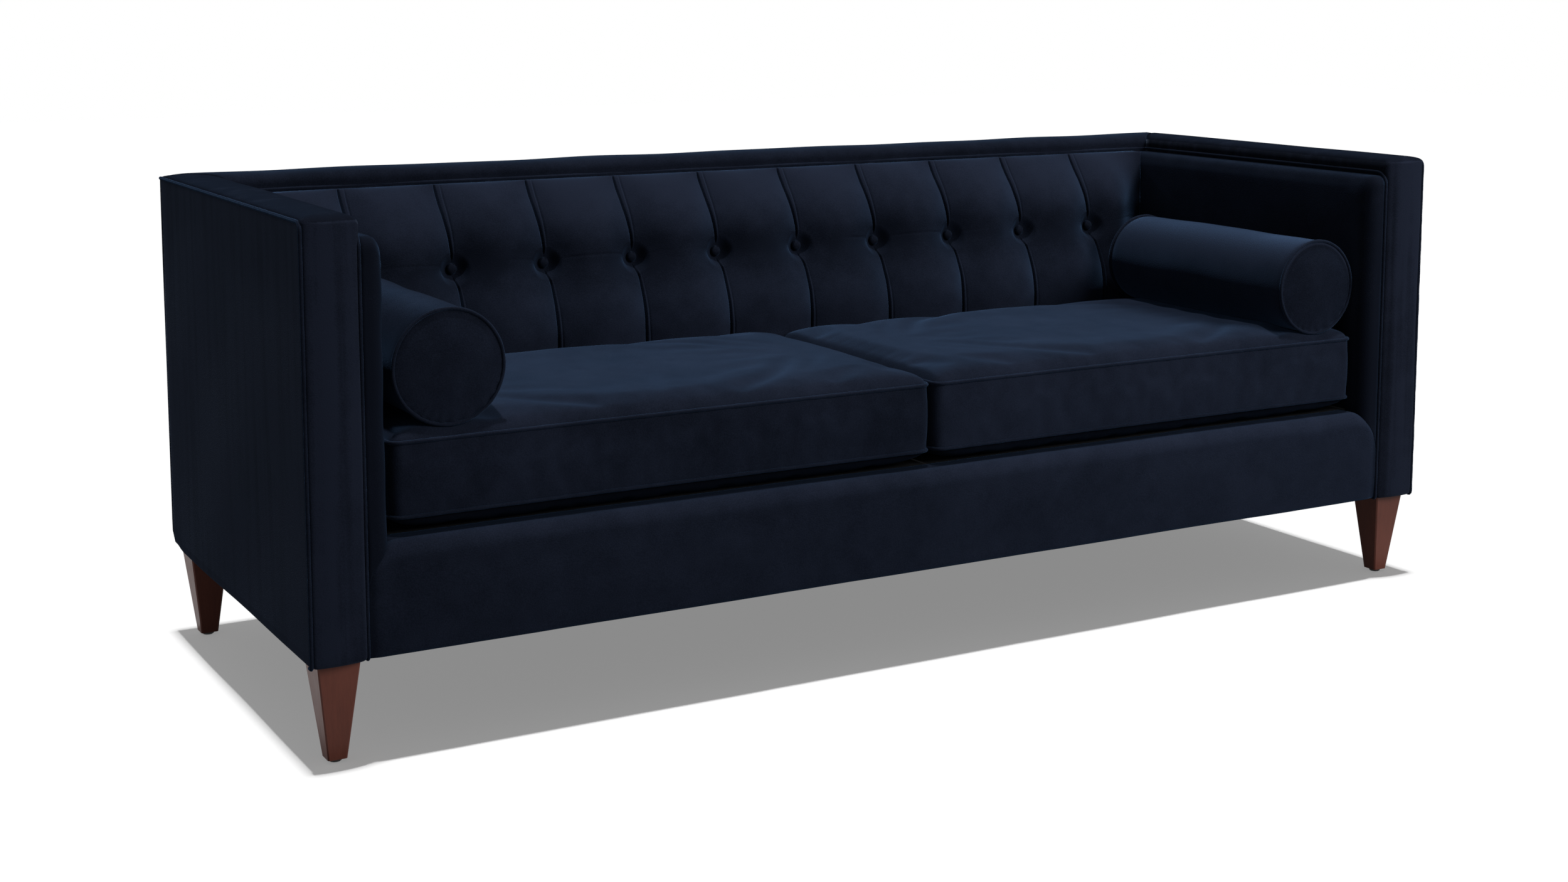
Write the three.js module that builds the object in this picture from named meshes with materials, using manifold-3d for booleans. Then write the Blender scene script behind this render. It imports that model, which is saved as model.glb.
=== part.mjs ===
// A three-seat tuxedo sofa: arms and back of one height, a channel-tufted back with buttons,
// two boxed seat cushions, two bolsters and four tapered wooden legs.
// Millimetres, +Z up. The sofa faces -Y and its length runs along X. The origin is on the
// floor under the middle of the sofa. Left and right are as seen from the front.
import * as THREE from 'three';
import { mergeVertices } from 'three/addons/utils/BufferGeometryUtils.js';
import Module from 'manifold-3d';

const wasm = await Module();
wasm.setup();

// Overall size
const WIDTH = 2134;
const DEPTH = 790;
const HEIGHT = 794;
const LEG_RISE = 152; // floor to the underside of the body
const WALL = 88; // thickness of the arms and the back
const GAP = 0.3; // clearance between pieces that touch
const OVERRUN = 40; // how far a cutter runs past what it cuts

// Arm and back covers: padding and velvet pulled over the frame
const SKIN = 8; // on the sides of a wall
const SKIN_TOP = 10; // on top of a wall
const SKIN_FRONT = 10; // on the front of an arm
const EDGE_ROUND = 8; // rounding along a wall's edges
const TOP_CORNER = 20; // an arm's top front corner, seen from the side
const BASE_CORNER = 35; // the lower back corners of the body
const TUCK_CORNER = 10; // the other corners of a wall

// Frame of hardwood boards
const BOARD = 28; // thickness of rails and stretchers
const STRETCHER_DROP = 30; // from the top of the rails down to the stretcher
const UPRIGHT_WIDTH = 45;
const UPRIGHT_PLACE = 330; // from the middle of the back to an upright's middle

// Legs
const LEG_TOP = 64; // side of the square at the top
const LEG_BOTTOM = 29; // side of the square at the floor end
const LEG_INSET = 12.6; // from the body's outer faces to the leg's top edge
const LEG_CHAMFER = 2; // broken edge along the leg
const GLIDE_HEIGHT = 5;
const GLIDE_RADIUS = 10;
const GLIDE_ROUND = 1.5;
const NAIL_RADIUS = 1.5;
const NAIL_LENGTH = 15;
const BOLT_RADIUS = 4;
const BOLT_REACH = 30; // depth of the bolt in the leg, and in the post
const BOLT_CHAMFER = 1;
const PLATE_SIDE = 60;
const PLATE_EDGE = 1; // from a plate to the edge of its post
const PLATE_THICK = 3;
const PLATE_MARGIN = 4; // from a plate to the cut corner of the dust cover
const DUST_THICK = 1.5;

// Seat base
const DECK_HEIGHT = 320; // floor to the deck and the top of the padded front rail
const DECK_THICK = 12;
const RAIL_SETBACK = 8; // front rail cover behind the arm fronts
const RAIL_PAD = 10; // padding on the front rail's face
const RAIL_LIP = 47; // depth of the padded roll on top of the front rail
const RAIL_ROLL = 25; // rounding of the roll's front edge
const RAIL_CORNER = 55; // rounded upper ends of the rail cover, seen from the front
const WIRE = 3.5; // spring wire diameter
const SPRING_ARCH = 10; // how far a spring rises between the rails
const SPRING_HALF_WIDTH = 24;
const SPRING_HALF_LOOP = 30; // along the spring, from one bend to the next
const SPRINGS_PER_SEAT = 3;
const SPRING_END_INSET = 12; // from the outer face of a rail to the end of the wire

// Inner pads of the arms
const ARM_PAD = 40; // how far the pad stands proud of the arm's inner face
const ARM_PAD_DROP = 39; // from the top of the arm down to the pad
const ARM_PAD_SETBACK = 8.5; // pad's front edge behind the arm front
const ARM_PAD_ROUND = 22; // rounding of the pad's inner edge
const ARM_PAD_CORNER = 30; // the pad's upper front corner, seen from the side
const ARM_PAD_BASE = 2; // rounding of the pad's tucked corners, seen from the side
const ARM_PAD_TOE = 22; // how far the pad reaches down behind the rail cover's corner

// Tufted back pad
const BACK_PAD_DROP = 26; // from the top of the back down to the pad
const BACK_PAD_TOP = 7; // pad thickness at its top edge, in a pleat
const BACK_PAD_BUTTON = 62; // pad thickness at the buttons
const BACK_PAD_SEAT = 115; // pad thickness at seat level and below, in a pleat
const BACK_PAD_CORNER = 35; // pad thickness at its two ends, where it meets the arm pads
const BUTTON_DROP = 149; // from the pad's top edge down to the row of buttons
const LUMBAR_RISE = 150; // from the deck up to the level where the rake starts
const PLEATS = 10;
const END_PANEL = 159; // width of the first and last panel
const PANEL_BULGE = 20;
const LOWER_BELLY = 18; // how far a pleat itself bows forward below the buttons
const UPPER_BELLY = 19; // and above them
const CREASE = 5; // depth of the crease between neighbouring buttons
const CREASE_WIDTH = 30;
const TOP_ROUND = 40; // height over which the bulge dies out at the pad's top edge
const BUTTON_RADIUS = 11.5;
const BUTTON_DOME = 7;
const BUTTON_SEAT = 12.5; // half the side of the flat dimple under a button

// Seat cushions
const SEAT_FRONT_SETBACK = 30; // front of the cushions behind the arm fronts
const SEAT_SIDE_GAP = 4; // cushion to arm pad
const SEAT_MIDDLE_GAP = 4; // between the two cushions
const SEAT_BACK_GAP = 4; // cushion to back pad
const SEAT_UNDER = 25; // deck to the lower welt
const SEAT_BAND = 105; // lower welt to upper welt
const SEAT_CROWN = 31; // upper welt to the top of the crown
const SEAT_CORNER = 24; // corner radius seen from above
const SEAT_DRAW_IN = 4; // how far the sides pull in between the corners
const SEAT_BAND_BULGE = 2; // how far the band bows out between the welts
const WELT = 3; // how far a welt stands out

// Bolsters
const BOLSTER_RADIUS = 85; // at the ends
const BOLSTER_BELLY = 2; // extra radius in the middle
const BOLSTER_CAP = 10; // how far an end bulges
const BOLSTER_LEFT_GAP = 14; // left bolster to its arm pad
const BOLSTER_RIGHT_GAP = 0.8; // right bolster to its arm pad
const BOLSTER_FRONT_SETBACK = 15; // front welt behind the front of the seat cushion
const BOLSTER_BACK_SETBACK = 20; // back welt before the back of the seat cushion

// Shares chosen by hand
const CROWN_POWER = 6; // how square a cushion's crown is
const PANEL_POWER = 2.4; // how square a panel's bulge is
const BELLY_SHARE = 0.8; // under 1, the upper belly is fullest below its middle
const CROWN_RING_SHARES = [0.1, 0.4, 0.66, 0.82, 0.92, 0.975];
const PANEL_COLUMN_SHARES = [0.22, 0.5, 0.78];
const LOWER_ROW_SHARES = [0, 0.26, 0.5, 0.7, 0.87];
const UPPER_ROW_SHARES = [0.16, 0.38, 0.62, 0.82, 0.94, 1];
const CAP_SHARES = [[0, 1], [0.5, 0.78], [0.85, 0.32], [0.97, 0.08]]; // radius, bulge
const BUTTON_SHARES = [[1, 0], [1, 0.3], [0.86, 0.68], [0.5, 0.92], [0, 1]]; // radius, height
const CORNER_STEPS = 3;
const SIDE_STEPS = 8;
const ROUND_SIDES = 24;
const REST_SAMPLES = 90;
const SMALL_SIDES = 12;
const WIRE_SIDES = 4;
const SPRING_STEPS = 3; // for each half loop

// Places that several pieces share
const outerX = WIDTH / 2;
const innerX = outerX - WALL;
const frontY = -DEPTH / 2;
const backY = DEPTH / 2;
const innerY = backY - WALL;
const frameBottom = LEG_RISE + DUST_THICK + GAP;
const deckBottom = DECK_HEIGHT - DECK_THICK;
const railTop = deckBottom - SPRING_ARCH - WIRE - 2 * GAP;
const frameTop = HEIGHT - SKIN_TOP - GAP;
const postInner = innerX + SKIN + GAP;
const postOuter = outerX - SKIN - GAP;
const postBottom = LEG_RISE + PLATE_THICK + GAP;
const legX = outerX - LEG_INSET - LEG_TOP / 2;
const legY = backY - LEG_INSET - LEG_TOP / 2;
const frontPostBack = PLATE_SIDE / 2 + PLATE_EDGE - legY;
const backPostBack = backY - SKIN - GAP;
const backPostFront = legY - PLATE_SIDE / 2 - PLATE_EDGE;
const railFace = frontY + RAIL_SETBACK;
const frontRailFront = railFace + RAIL_PAD + GAP;
const frontRailBack = frontRailFront + BOARD;
const backRailFront = innerY + SKIN + GAP;
const backRailBack = backRailFront + BOARD;
const lipBack = railFace + RAIL_LIP;
const lipBottom = railTop + WIRE + 2 * GAP;
const padX = innerX - ARM_PAD;
const backPadHalf = padX - GAP;
const backPadTop = HEIGHT - BACK_PAD_DROP;
const buttonZ = backPadTop - BUTTON_DROP;
const lumbarZ = DECK_HEIGHT + LUMBAR_RISE;
const seatWidth = (2 * padX - 2 * SEAT_SIDE_GAP - SEAT_MIDDLE_GAP) / 2;
const seatFront = frontY + SEAT_FRONT_SETBACK;
const seatBack = innerY - GAP - BACK_PAD_SEAT - PANEL_BULGE - SEAT_BACK_GAP;
const seatHalfX = seatWidth / 2 - WELT;
const seatHalfY = (seatBack - seatFront) / 2 - WELT;
const seatX = (SEAT_MIDDLE_GAP + seatWidth) / 2;
const seatY = (seatFront + seatBack) / 2;
const bolsterFront = seatFront + BOLSTER_FRONT_SETBACK;
const bolsterBack = seatBack - BOLSTER_BACK_SETBACK;

const velvet = new THREE.MeshStandardMaterial({ color: 0x1b2334, roughness: 0.85, metalness: 0 });
const legWood = new THREE.MeshStandardMaterial({ color: 0x4c2e26, roughness: 0.4, metalness: 0 });
const frameWood = new THREE.MeshStandardMaterial({ color: 0xb08a5c, roughness: 0.7, metalness: 0 });
const steel = new THREE.MeshStandardMaterial({ color: 0x8a8d90, roughness: 0.35, metalness: 1 });
const plastic = new THREE.MeshStandardMaterial({ color: 0x141414, roughness: 0.5, metalness: 0 });
const lining = new THREE.MeshStandardMaterial({ color: 0x16171a, roughness: 0.95, metalness: 0 });

// Solids for joining and cutting

function solidOf(geometry) {
  const bare = geometry.clone();
  bare.deleteAttribute('normal');
  bare.deleteAttribute('uv');
  const merged = mergeVertices(bare);
  return new wasm.Manifold(new wasm.Mesh({
    numProp: 3,
    vertProperties: new Float32Array(merged.attributes.position.array),
    triVerts: new Uint32Array(merged.index.array),
  }));
}

function geometryOf(solid) {
  const { vertProperties, triVerts } = solid.getMesh();
  const geometry = new THREE.BufferGeometry();
  geometry.setAttribute('position', new THREE.BufferAttribute(vertProperties, 3));
  geometry.setIndex(new THREE.BufferAttribute(triVerts, 1));
  geometry.computeVertexNormals();
  return geometry;
}

function cut(geometry, ...cutters) {
  let solid = solidOf(geometry);
  for (const cutter of cutters) solid = solid.subtract(solidOf(cutter));
  return geometryOf(solid);
}

// Basic forms

function box([x0, x1], [y0, y1], [z0, z1]) {
  const geometry = new THREE.BoxGeometry(x1 - x0, y1 - y0, z1 - z0);
  return geometry.translate((x0 + x1) / 2, (y0 + y1) / 2, (z0 + z1) / 2);
}

// Both sides of the sofa use the span of the right side: side is 1 for right and -1 for left.
function sideSpan(side, low, high) {
  return side > 0 ? [low, high] : [-high, -low];
}

// A rectangle with its own radius at each corner, in the order low-low, high-low, high-high,
// low-high.
function roundedRectangle([u0, u1], [v0, v1], [a, b, c, d]) {
  const shape = new THREE.Shape();
  shape.moveTo(u0 + a, v0);
  shape.lineTo(u1 - b, v0);
  shape.absarc(u1 - b, v0 + b, b, -Math.PI / 2, 0);
  shape.lineTo(u1, v1 - c);
  shape.absarc(u1 - c, v1 - c, c, 0, Math.PI / 2);
  shape.lineTo(u0 + d, v1);
  shape.absarc(u0 + d, v1 - d, d, Math.PI / 2, Math.PI);
  shape.lineTo(u0, v0 + a);
  shape.absarc(u0 + a, v0 + a, a, Math.PI, 1.5 * Math.PI);
  return shape;
}

// A plate of the given outline, with its edges rounded on both faces.
function roundedPlate(shape, thickness, round) {
  const geometry = new THREE.ExtrudeGeometry(shape, {
    depth: thickness - 2 * round,
    bevelThickness: round,
    bevelSize: round,
    bevelOffset: -round,
    bevelSegments: 3,
    curveSegments: 4,
  });
  return geometry.translate(0, 0, round);
}

function prism(shape, length) {
  return new THREE.ExtrudeGeometry(shape, { depth: length, bevelEnabled: false, curveSegments: 6 });
}

// Turns a form drawn in a side view, (Y, Z) and extruded upwards, so that it runs along +X
// from x.
function alongX(geometry, x) {
  const turn = new THREE.Matrix4().makeBasis(
    new THREE.Vector3(0, 1, 0), new THREE.Vector3(0, 0, 1), new THREE.Vector3(1, 0, 0));
  return geometry.applyMatrix4(turn).translate(x, 0, 0);
}

// Turns a form drawn in a front view, (X, Z), so that it runs towards -Y from y.
function alongMinusY(geometry, y) {
  return geometry.rotateX(Math.PI / 2).translate(0, y, 0);
}

// A closed skin through rings of equal counts, with a fan at each end.
function loft(rings) {
  const count = rings[0].length;
  const points = rings.flat();
  const index = [];
  for (let r = 0; r + 1 < rings.length; r++) {
    for (let k = 0; k < count; k++) {
      const a = r * count + k;
      const b = r * count + (k + 1) % count;
      index.push(a, b, b + count, a, b + count, a + count);
    }
  }
  for (const [ring, start] of [[rings[0], 0], [rings.at(-1), (rings.length - 1) * count]]) {
    const middle = new THREE.Vector3();
    for (const point of ring) middle.addScaledVector(point, 1 / count);
    points.push(middle);
    for (let k = 0; k < count; k++) {
      const fan = [points.length - 1, start + (k + 1) % count, start + k];
      index.push(...(start === 0 ? fan : [fan[0], fan[2], fan[1]]));
    }
  }
  return outwards(new THREE.BufferGeometry().setFromPoints(points).setIndex(index));
}

// Turns every face round if the closed skin encloses a negative volume.
function outwards(geometry) {
  const { position } = geometry.attributes;
  const index = geometry.index.array;
  const [a, b, c] = [new THREE.Vector3(), new THREE.Vector3(), new THREE.Vector3()];
  let volume = 0;
  for (let i = 0; i < index.length; i += 3) {
    a.fromBufferAttribute(position, index[i]);
    b.fromBufferAttribute(position, index[i + 1]);
    c.fromBufferAttribute(position, index[i + 2]);
    volume += a.dot(b.cross(c));
  }
  for (let i = 0; volume < 0 && i < index.length; i += 3) {
    [index[i + 1], index[i + 2]] = [index[i + 2], index[i + 1]];
  }
  geometry.computeVertexNormals();
  return geometry;
}

// A mesh of the group, named and placed.
function piece(name, geometry, material, [x, y, z] = [0, 0, 0]) {
  const mesh = new THREE.Mesh(geometry, material);
  mesh.name = name;
  mesh.position.set(x, y, z);
  return mesh;
}

// Legs: a tapered square with broken edges, bored for the hanger bolt and the glide's nail

function squareRing(side, z) {
  const half = side / 2;
  const near = half - LEG_CHAMFER;
  const corners = [[near, -half], [half, -near], [half, near], [near, half],
    [-near, half], [-half, near], [-half, -near], [-near, -half]];
  return corners.map(([x, y]) => new THREE.Vector3(x, y, z));
}

function bore(radius, z0, z1) {
  const geometry = new THREE.CylinderGeometry(radius, radius, z1 - z0, SMALL_SIDES);
  return geometry.rotateX(Math.PI / 2).translate(0, 0, (z0 + z1) / 2);
}

function legGeometry() {
  const bottom = GLIDE_HEIGHT + GAP;
  const top = LEG_RISE - GAP;
  const body = loft([squareRing(LEG_BOTTOM, bottom), squareRing(LEG_TOP, top)]);
  const boltHole = bore(BOLT_RADIUS + GAP, LEG_RISE - BOLT_REACH - GAP, LEG_RISE + OVERRUN);
  const nailHole = bore(NAIL_RADIUS + GAP, -OVERRUN, GLIDE_HEIGHT + NAIL_LENGTH + GAP);
  return cut(body, boltHole, nailHole);
}

// A turned form standing on its axis, from pairs of radius and height.
function turned(profile, sides) {
  const points = profile.map(([radius, height]) => new THREE.Vector2(radius, height));
  const bare = new THREE.LatheGeometry(points, sides).rotateX(Math.PI / 2);
  bare.deleteAttribute('normal');
  bare.deleteAttribute('uv');
  return outwards(mergeVertices(bare));
}

function glideGeometry() {
  const tip = GLIDE_HEIGHT + NAIL_LENGTH;
  return turned([
    [0, 0], [GLIDE_RADIUS - GLIDE_ROUND, 0], [GLIDE_RADIUS, GLIDE_ROUND],
    [GLIDE_RADIUS, GLIDE_HEIGHT - GLIDE_ROUND], [GLIDE_RADIUS - GLIDE_ROUND, GLIDE_HEIGHT],
    [NAIL_RADIUS, GLIDE_HEIGHT], [NAIL_RADIUS, tip - NAIL_RADIUS], [0, tip],
  ], SMALL_SIDES);
}

function boltGeometry() {
  const low = LEG_RISE - BOLT_REACH;
  const high = postBottom + BOLT_REACH;
  return turned([
    [0, low], [BOLT_RADIUS - BOLT_CHAMFER, low], [BOLT_RADIUS, low + BOLT_CHAMFER],
    [BOLT_RADIUS, high - BOLT_CHAMFER], [BOLT_RADIUS - BOLT_CHAMFER, high], [0, high],
  ], SMALL_SIDES);
}

function plateGeometry() {
  const half = PLATE_SIDE / 2;
  const body = box([-half, half], [-half, half], [LEG_RISE, LEG_RISE + PLATE_THICK]);
  return cut(body, bore(BOLT_RADIUS + GAP, LEG_RISE - OVERRUN, LEG_RISE + OVERRUN));
}

function legs() {
  const group = new THREE.Group();
  for (const [xName, side] of [['left', -1], ['right', 1]]) {
    for (const [yName, end] of [['front', -1], ['back', 1]]) {
      const place = [side * legX, end * legY, 0];
      group.add(
        piece(`leg_${yName}_${xName}`, legGeometry(), legWood, place),
        piece(`glide_${yName}_${xName}`, glideGeometry(), plastic, place),
        piece(`leg_bolt_${yName}_${xName}`, boltGeometry(), steel, place),
        piece(`leg_plate_${yName}_${xName}`, plateGeometry(), steel, place),
      );
    }
  }
  return group;
}

// Frame: boards butted together, posts bored for the leg bolts

function postGeometry(side, [y0, y1], end) {
  const body = box(sideSpan(side, postInner, postOuter), [y0, y1], [postBottom, frameTop]);
  const top = postBottom + BOLT_REACH + GAP;
  const hole = bore(BOLT_RADIUS + GAP, postBottom - OVERRUN, top);
  return cut(body, hole.translate(side * legX, end * legY, 0));
}

function frame() {
  const group = new THREE.Group();
  const railHalf = postInner - GAP;
  const railSpan = [-railHalf, railHalf];
  const railHeights = [frameBottom, railTop];
  const topHeights = [frameTop - BOARD, frameTop];
  const add = (name, geometry) => group.add(piece(name, geometry, frameWood));
  add('frame_front_rail', box(railSpan, [frontRailFront, frontRailBack], railHeights));
  add('frame_back_rail', box(railSpan, [backRailFront, backRailBack], railHeights));
  add('frame_back_top', box(railSpan, [backRailFront, backPostBack], topHeights));
  add('frame_centre_stretcher', box([-BOARD / 2, BOARD / 2],
    [frontRailBack + GAP, backRailFront - GAP], [frameBottom, railTop - STRETCHER_DROP]));
  for (const [name, side] of [['left', -1], ['right', 1]]) {
    const between = [frontPostBack + GAP, backPostFront - GAP];
    const upright = side * UPRIGHT_PLACE;
    add(`frame_side_rail_${name}`,
      box(sideSpan(side, postInner, postInner + BOARD), between, railHeights));
    add(`frame_arm_top_${name}`, box(sideSpan(side, postInner, postOuter), between, topHeights));
    add(`frame_front_post_${name}`,
      postGeometry(side, [frontY + SKIN_FRONT + GAP, frontPostBack], -1));
    add(`frame_back_post_${name}`, postGeometry(side, [backPostFront, backPostBack], 1));
    add(`frame_back_upright_${name}`, box(
      [upright - UPRIGHT_WIDTH / 2, upright + UPRIGHT_WIDTH / 2], [backRailFront, backRailBack],
      [railTop + GAP, frameTop - BOARD - GAP]));
  }
  return group;
}

// Seat base: zigzag springs, deck, padded front rail and dust cover

// The wire waves from side to side, lies flat on both rails and arches up to the deck
// between them.
function springGeometry(x) {
  const start = frontRailFront + SPRING_END_INSET;
  const end = backRailBack - SPRING_END_INSET;
  const rest = railTop + GAP + WIRE / 2;
  const steps = SPRING_STEPS * Math.round((end - start) / SPRING_HALF_LOOP);
  const points = [];
  for (let k = 0; k <= steps; k++) {
    const y = start + (end - start) * k / steps;
    const span = THREE.MathUtils.clamp((y - lipBack) / (innerY - lipBack), 0, 1);
    const wave = Math.sin(Math.PI * (k + 0.5) / SPRING_STEPS);
    points.push(new THREE.Vector3(
      x + SPRING_HALF_WIDTH * wave, y, rest + SPRING_ARCH * Math.sin(Math.PI * span)));
  }
  return wireAlong(points);
}

// A wire through the points, its section square to the way it runs.
function wireAlong(points) {
  const rings = points.map((point, k) => {
    const ahead = points[Math.min(k + 1, points.length - 1)];
    const along = new THREE.Vector3().subVectors(ahead, points[Math.max(k - 1, 0)]).normalize();
    const across = new THREE.Vector3(-along.y, along.x, 0).normalize();
    const up = new THREE.Vector3().crossVectors(along, across);
    return Array.from({ length: WIRE_SIDES }, (_, n) => {
      const angle = 2 * Math.PI * n / WIRE_SIDES;
      return point.clone().addScaledVector(across, WIRE / 2 * Math.cos(angle))
        .addScaledVector(up, WIRE / 2 * Math.sin(angle));
    });
  });
  return loft(rings);
}

// The cover of the front rail: a padded face with a roll on top. grow widens it all round,
// so that a neighbour can be cut to lie against it.
function railCoverGeometry(grow) {
  const [low, high] = [LEG_RISE - grow, DECK_HEIGHT + grow];
  const [front, back] = [railFace - grow, lipBack + grow];
  const half = innerX - GAP + grow;
  const profile = new THREE.Shape();
  profile.moveTo(front, low);
  profile.lineTo(front + RAIL_PAD + 2 * grow, low);
  profile.lineTo(front + RAIL_PAD + 2 * grow, lipBottom - grow);
  profile.lineTo(back, lipBottom - grow);
  profile.lineTo(back, high);
  profile.lineTo(front + RAIL_ROLL, high);
  profile.absarc(front + RAIL_ROLL, high - RAIL_ROLL, RAIL_ROLL, Math.PI / 2, Math.PI);
  profile.closePath();
  const body = alongX(prism(profile, 2 * half), -half);
  const face = roundedRectangle([-half, half], [low, high],
    [EDGE_ROUND, EDGE_ROUND, RAIL_CORNER, RAIL_CORNER]);
  const length = back - front + 2 * OVERRUN;
  const elevation = alongMinusY(prism(face, length), back + OVERRUN);
  return geometryOf(solidOf(body).intersect(solidOf(elevation)));
}

// The dust cover is notched round the leg plates.
function dustCoverGeometry() {
  const [x, y0, y1] = [postOuter, frontRailFront, backPostBack];
  const notchX = legX - PLATE_SIDE / 2 - PLATE_MARGIN;
  const notchY = legY - PLATE_SIDE / 2 - PLATE_MARGIN;
  const outline = [[-notchX, y0], [notchX, y0], [notchX, -notchY], [x, -notchY], [x, notchY],
    [notchX, notchY], [notchX, y1], [-notchX, y1], [-notchX, notchY], [-x, notchY],
    [-x, -notchY], [-notchX, -notchY]];
  const shape = new THREE.Shape(outline.map(([u, v]) => new THREE.Vector2(u, v)));
  return prism(shape, DUST_THICK).translate(0, 0, LEG_RISE);
}

function seatBase() {
  const group = new THREE.Group();
  const springs = 2 * SPRINGS_PER_SEAT;
  const springPitch = 2 * innerX / springs;
  for (let k = 0; k < springs; k++) {
    const x = (k + 0.5) * springPitch - innerX;
    group.add(piece(`seat_spring_${k + 1}`, springGeometry(x), steel));
  }
  const deckHalf = innerX - GAP;
  group.add(
    piece('deck', box([-deckHalf, deckHalf], [lipBack + GAP, innerY - GAP],
      [deckBottom, DECK_HEIGHT]), lining),
    piece('rail_cover', railCoverGeometry(0), velvet),
    piece('dust_cover', dustCoverGeometry(), lining),
  );
  return group;
}

// Covers of the arms and the back: hollow walls, open below, mitred where they meet

// A prism on one side of the mitre line at a back corner. towardsBack is 1 for the back's
// side of the line and -1 for the arm's side.
function mitrePrism(side, towardsBack) {
  const reach = WALL + OVERRUN;
  const shift = -towardsBack * GAP / Math.SQRT2;
  const far = [innerX - towardsBack * reach, innerY + towardsBack * reach + shift];
  const ends = [[innerX - reach, innerY - reach + shift], [innerX + reach, innerY + reach + shift]];
  const outline = [...ends, far].map(([x, y]) => new THREE.Vector2(side * x, y));
  return prism(new THREE.Shape(outline), HEIGHT + 2 * OVERRUN).translate(0, 0, -OVERRUN);
}

function armCoverGeometry(side) {
  const outline = roundedRectangle([frontY, backY], [LEG_RISE, HEIGHT],
    [TUCK_CORNER, BASE_CORNER, TUCK_CORNER, TOP_CORNER]);
  const [low] = sideSpan(side, innerX, outerX);
  const body = alongX(roundedPlate(outline, WALL, EDGE_ROUND), low);
  const inside = [innerX + SKIN, outerX - SKIN];
  const cavity = box(sideSpan(side, ...inside), [frontY + SKIN_FRONT, backY - SKIN],
    [LEG_RISE - OVERRUN, HEIGHT - SKIN_TOP]);
  const belowDeck = box(sideSpan(side, innerX - OVERRUN, innerX + SKIN + GAP),
    [frontY + SKIN_FRONT, backY], [LEG_RISE - OVERRUN, lipBottom]);
  return cut(body, cavity, belowDeck, mitrePrism(side, 1));
}

function backCoverGeometry() {
  const outline = roundedRectangle([-outerX, outerX], [LEG_RISE, HEIGHT],
    [BASE_CORNER, BASE_CORNER, TUCK_CORNER, TUCK_CORNER]);
  const body = alongMinusY(roundedPlate(outline, WALL, EDGE_ROUND), backY);
  const cavity = box([SKIN - outerX, outerX - SKIN], [innerY + SKIN, backY - SKIN],
    [LEG_RISE - OVERRUN, HEIGHT - SKIN_TOP]);
  const belowDeck = box([-outerX, outerX], [innerY - OVERRUN, innerY + SKIN + GAP],
    [LEG_RISE - OVERRUN, lipBottom]);
  return cut(body, cavity, belowDeck, mitrePrism(1, -1), mitrePrism(-1, -1));
}

// A pad on the inner face of an arm, rounded towards the seat. It sits on the deck, and its
// toe fills the corner above the rounded end of the rail cover.
function armPadGeometry(side) {
  const span = [frontY + ARM_PAD_SETBACK, innerY - GAP];
  const heights = [DECK_HEIGHT - ARM_PAD_TOE, HEIGHT - ARM_PAD_DROP];
  const ringAt = (x, inset) => {
    const radius = ARM_PAD_CORNER - inset;
    const outline = roundedRectangle([span[0] + inset, span[1]], [heights[0], heights[1] - inset],
      [ARM_PAD_BASE, ARM_PAD_BASE, ARM_PAD_BASE, radius]);
    const points = outline.getPoints(CORNER_STEPS).slice(0, -1);
    return points.map(({ x: y, y: z }) => new THREE.Vector3(side * x, y, z));
  };
  const rings = [ringAt(innerX - GAP, 0)];
  for (let k = 0; k <= CORNER_STEPS; k++) {
    const angle = k / CORNER_STEPS * Math.PI / 2;
    rings.push(ringAt(padX + ARM_PAD_ROUND * (1 - Math.sin(angle)),
      ARM_PAD_ROUND * (1 - Math.cos(angle))));
  }
  const deckSpace = box([-outerX, outerX], [lipBack, backY], [LEG_RISE, DECK_HEIGHT + GAP]);
  return cut(loft(rings), deckSpace, railCoverGeometry(GAP));
}

// Tufted back pad: a raked pad whose face is drawn in along vertical pleats, with a button
// in each pleat and a crease between neighbouring buttons

const pleatPitch = (2 * backPadHalf - 2 * END_PANEL) / (PLEATS - 1);
const pleatPlaces = Array.from({ length: PLEATS }, (_, k) => END_PANEL - backPadHalf + k * pleatPitch);
const rake = (BACK_PAD_SEAT - BACK_PAD_BUTTON) / (buttonZ - lumbarZ);

// Thickness in a pleat: even up to the lumbar level, then two lobes that bow forward, one up
// to the buttons and one from there to the top edge.
function pleatThickness(z) {
  if (z <= lumbarZ) return BACK_PAD_SEAT;
  if (z <= buttonZ) {
    const share = (z - lumbarZ) / (buttonZ - lumbarZ);
    return THREE.MathUtils.lerp(BACK_PAD_SEAT, BACK_PAD_BUTTON, share)
      + LOWER_BELLY * Math.sin(Math.PI * share);
  }
  const share = Math.min((z - buttonZ) / (backPadTop - buttonZ), 1);
  return THREE.MathUtils.lerp(BACK_PAD_BUTTON, BACK_PAD_TOP, share)
    + UPPER_BELLY * Math.sin(Math.PI * share ** BELLY_SHARE);
}

// Extra thickness between two pleats, dying out at the top edge and lower in the crease.
function panelBulge(share, z) {
  const across = 1 - Math.abs(2 * share - 1) ** PANEL_POWER;
  const fall = THREE.MathUtils.clamp((backPadTop - z) / TOP_ROUND, 0, 1);
  const crease = CREASE * Math.exp(-(((z - buttonZ) / CREASE_WIDTH) ** 2));
  return across * (PANEL_BULGE * Math.sqrt(1 - (1 - fall) ** 2) - crease);
}

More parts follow.
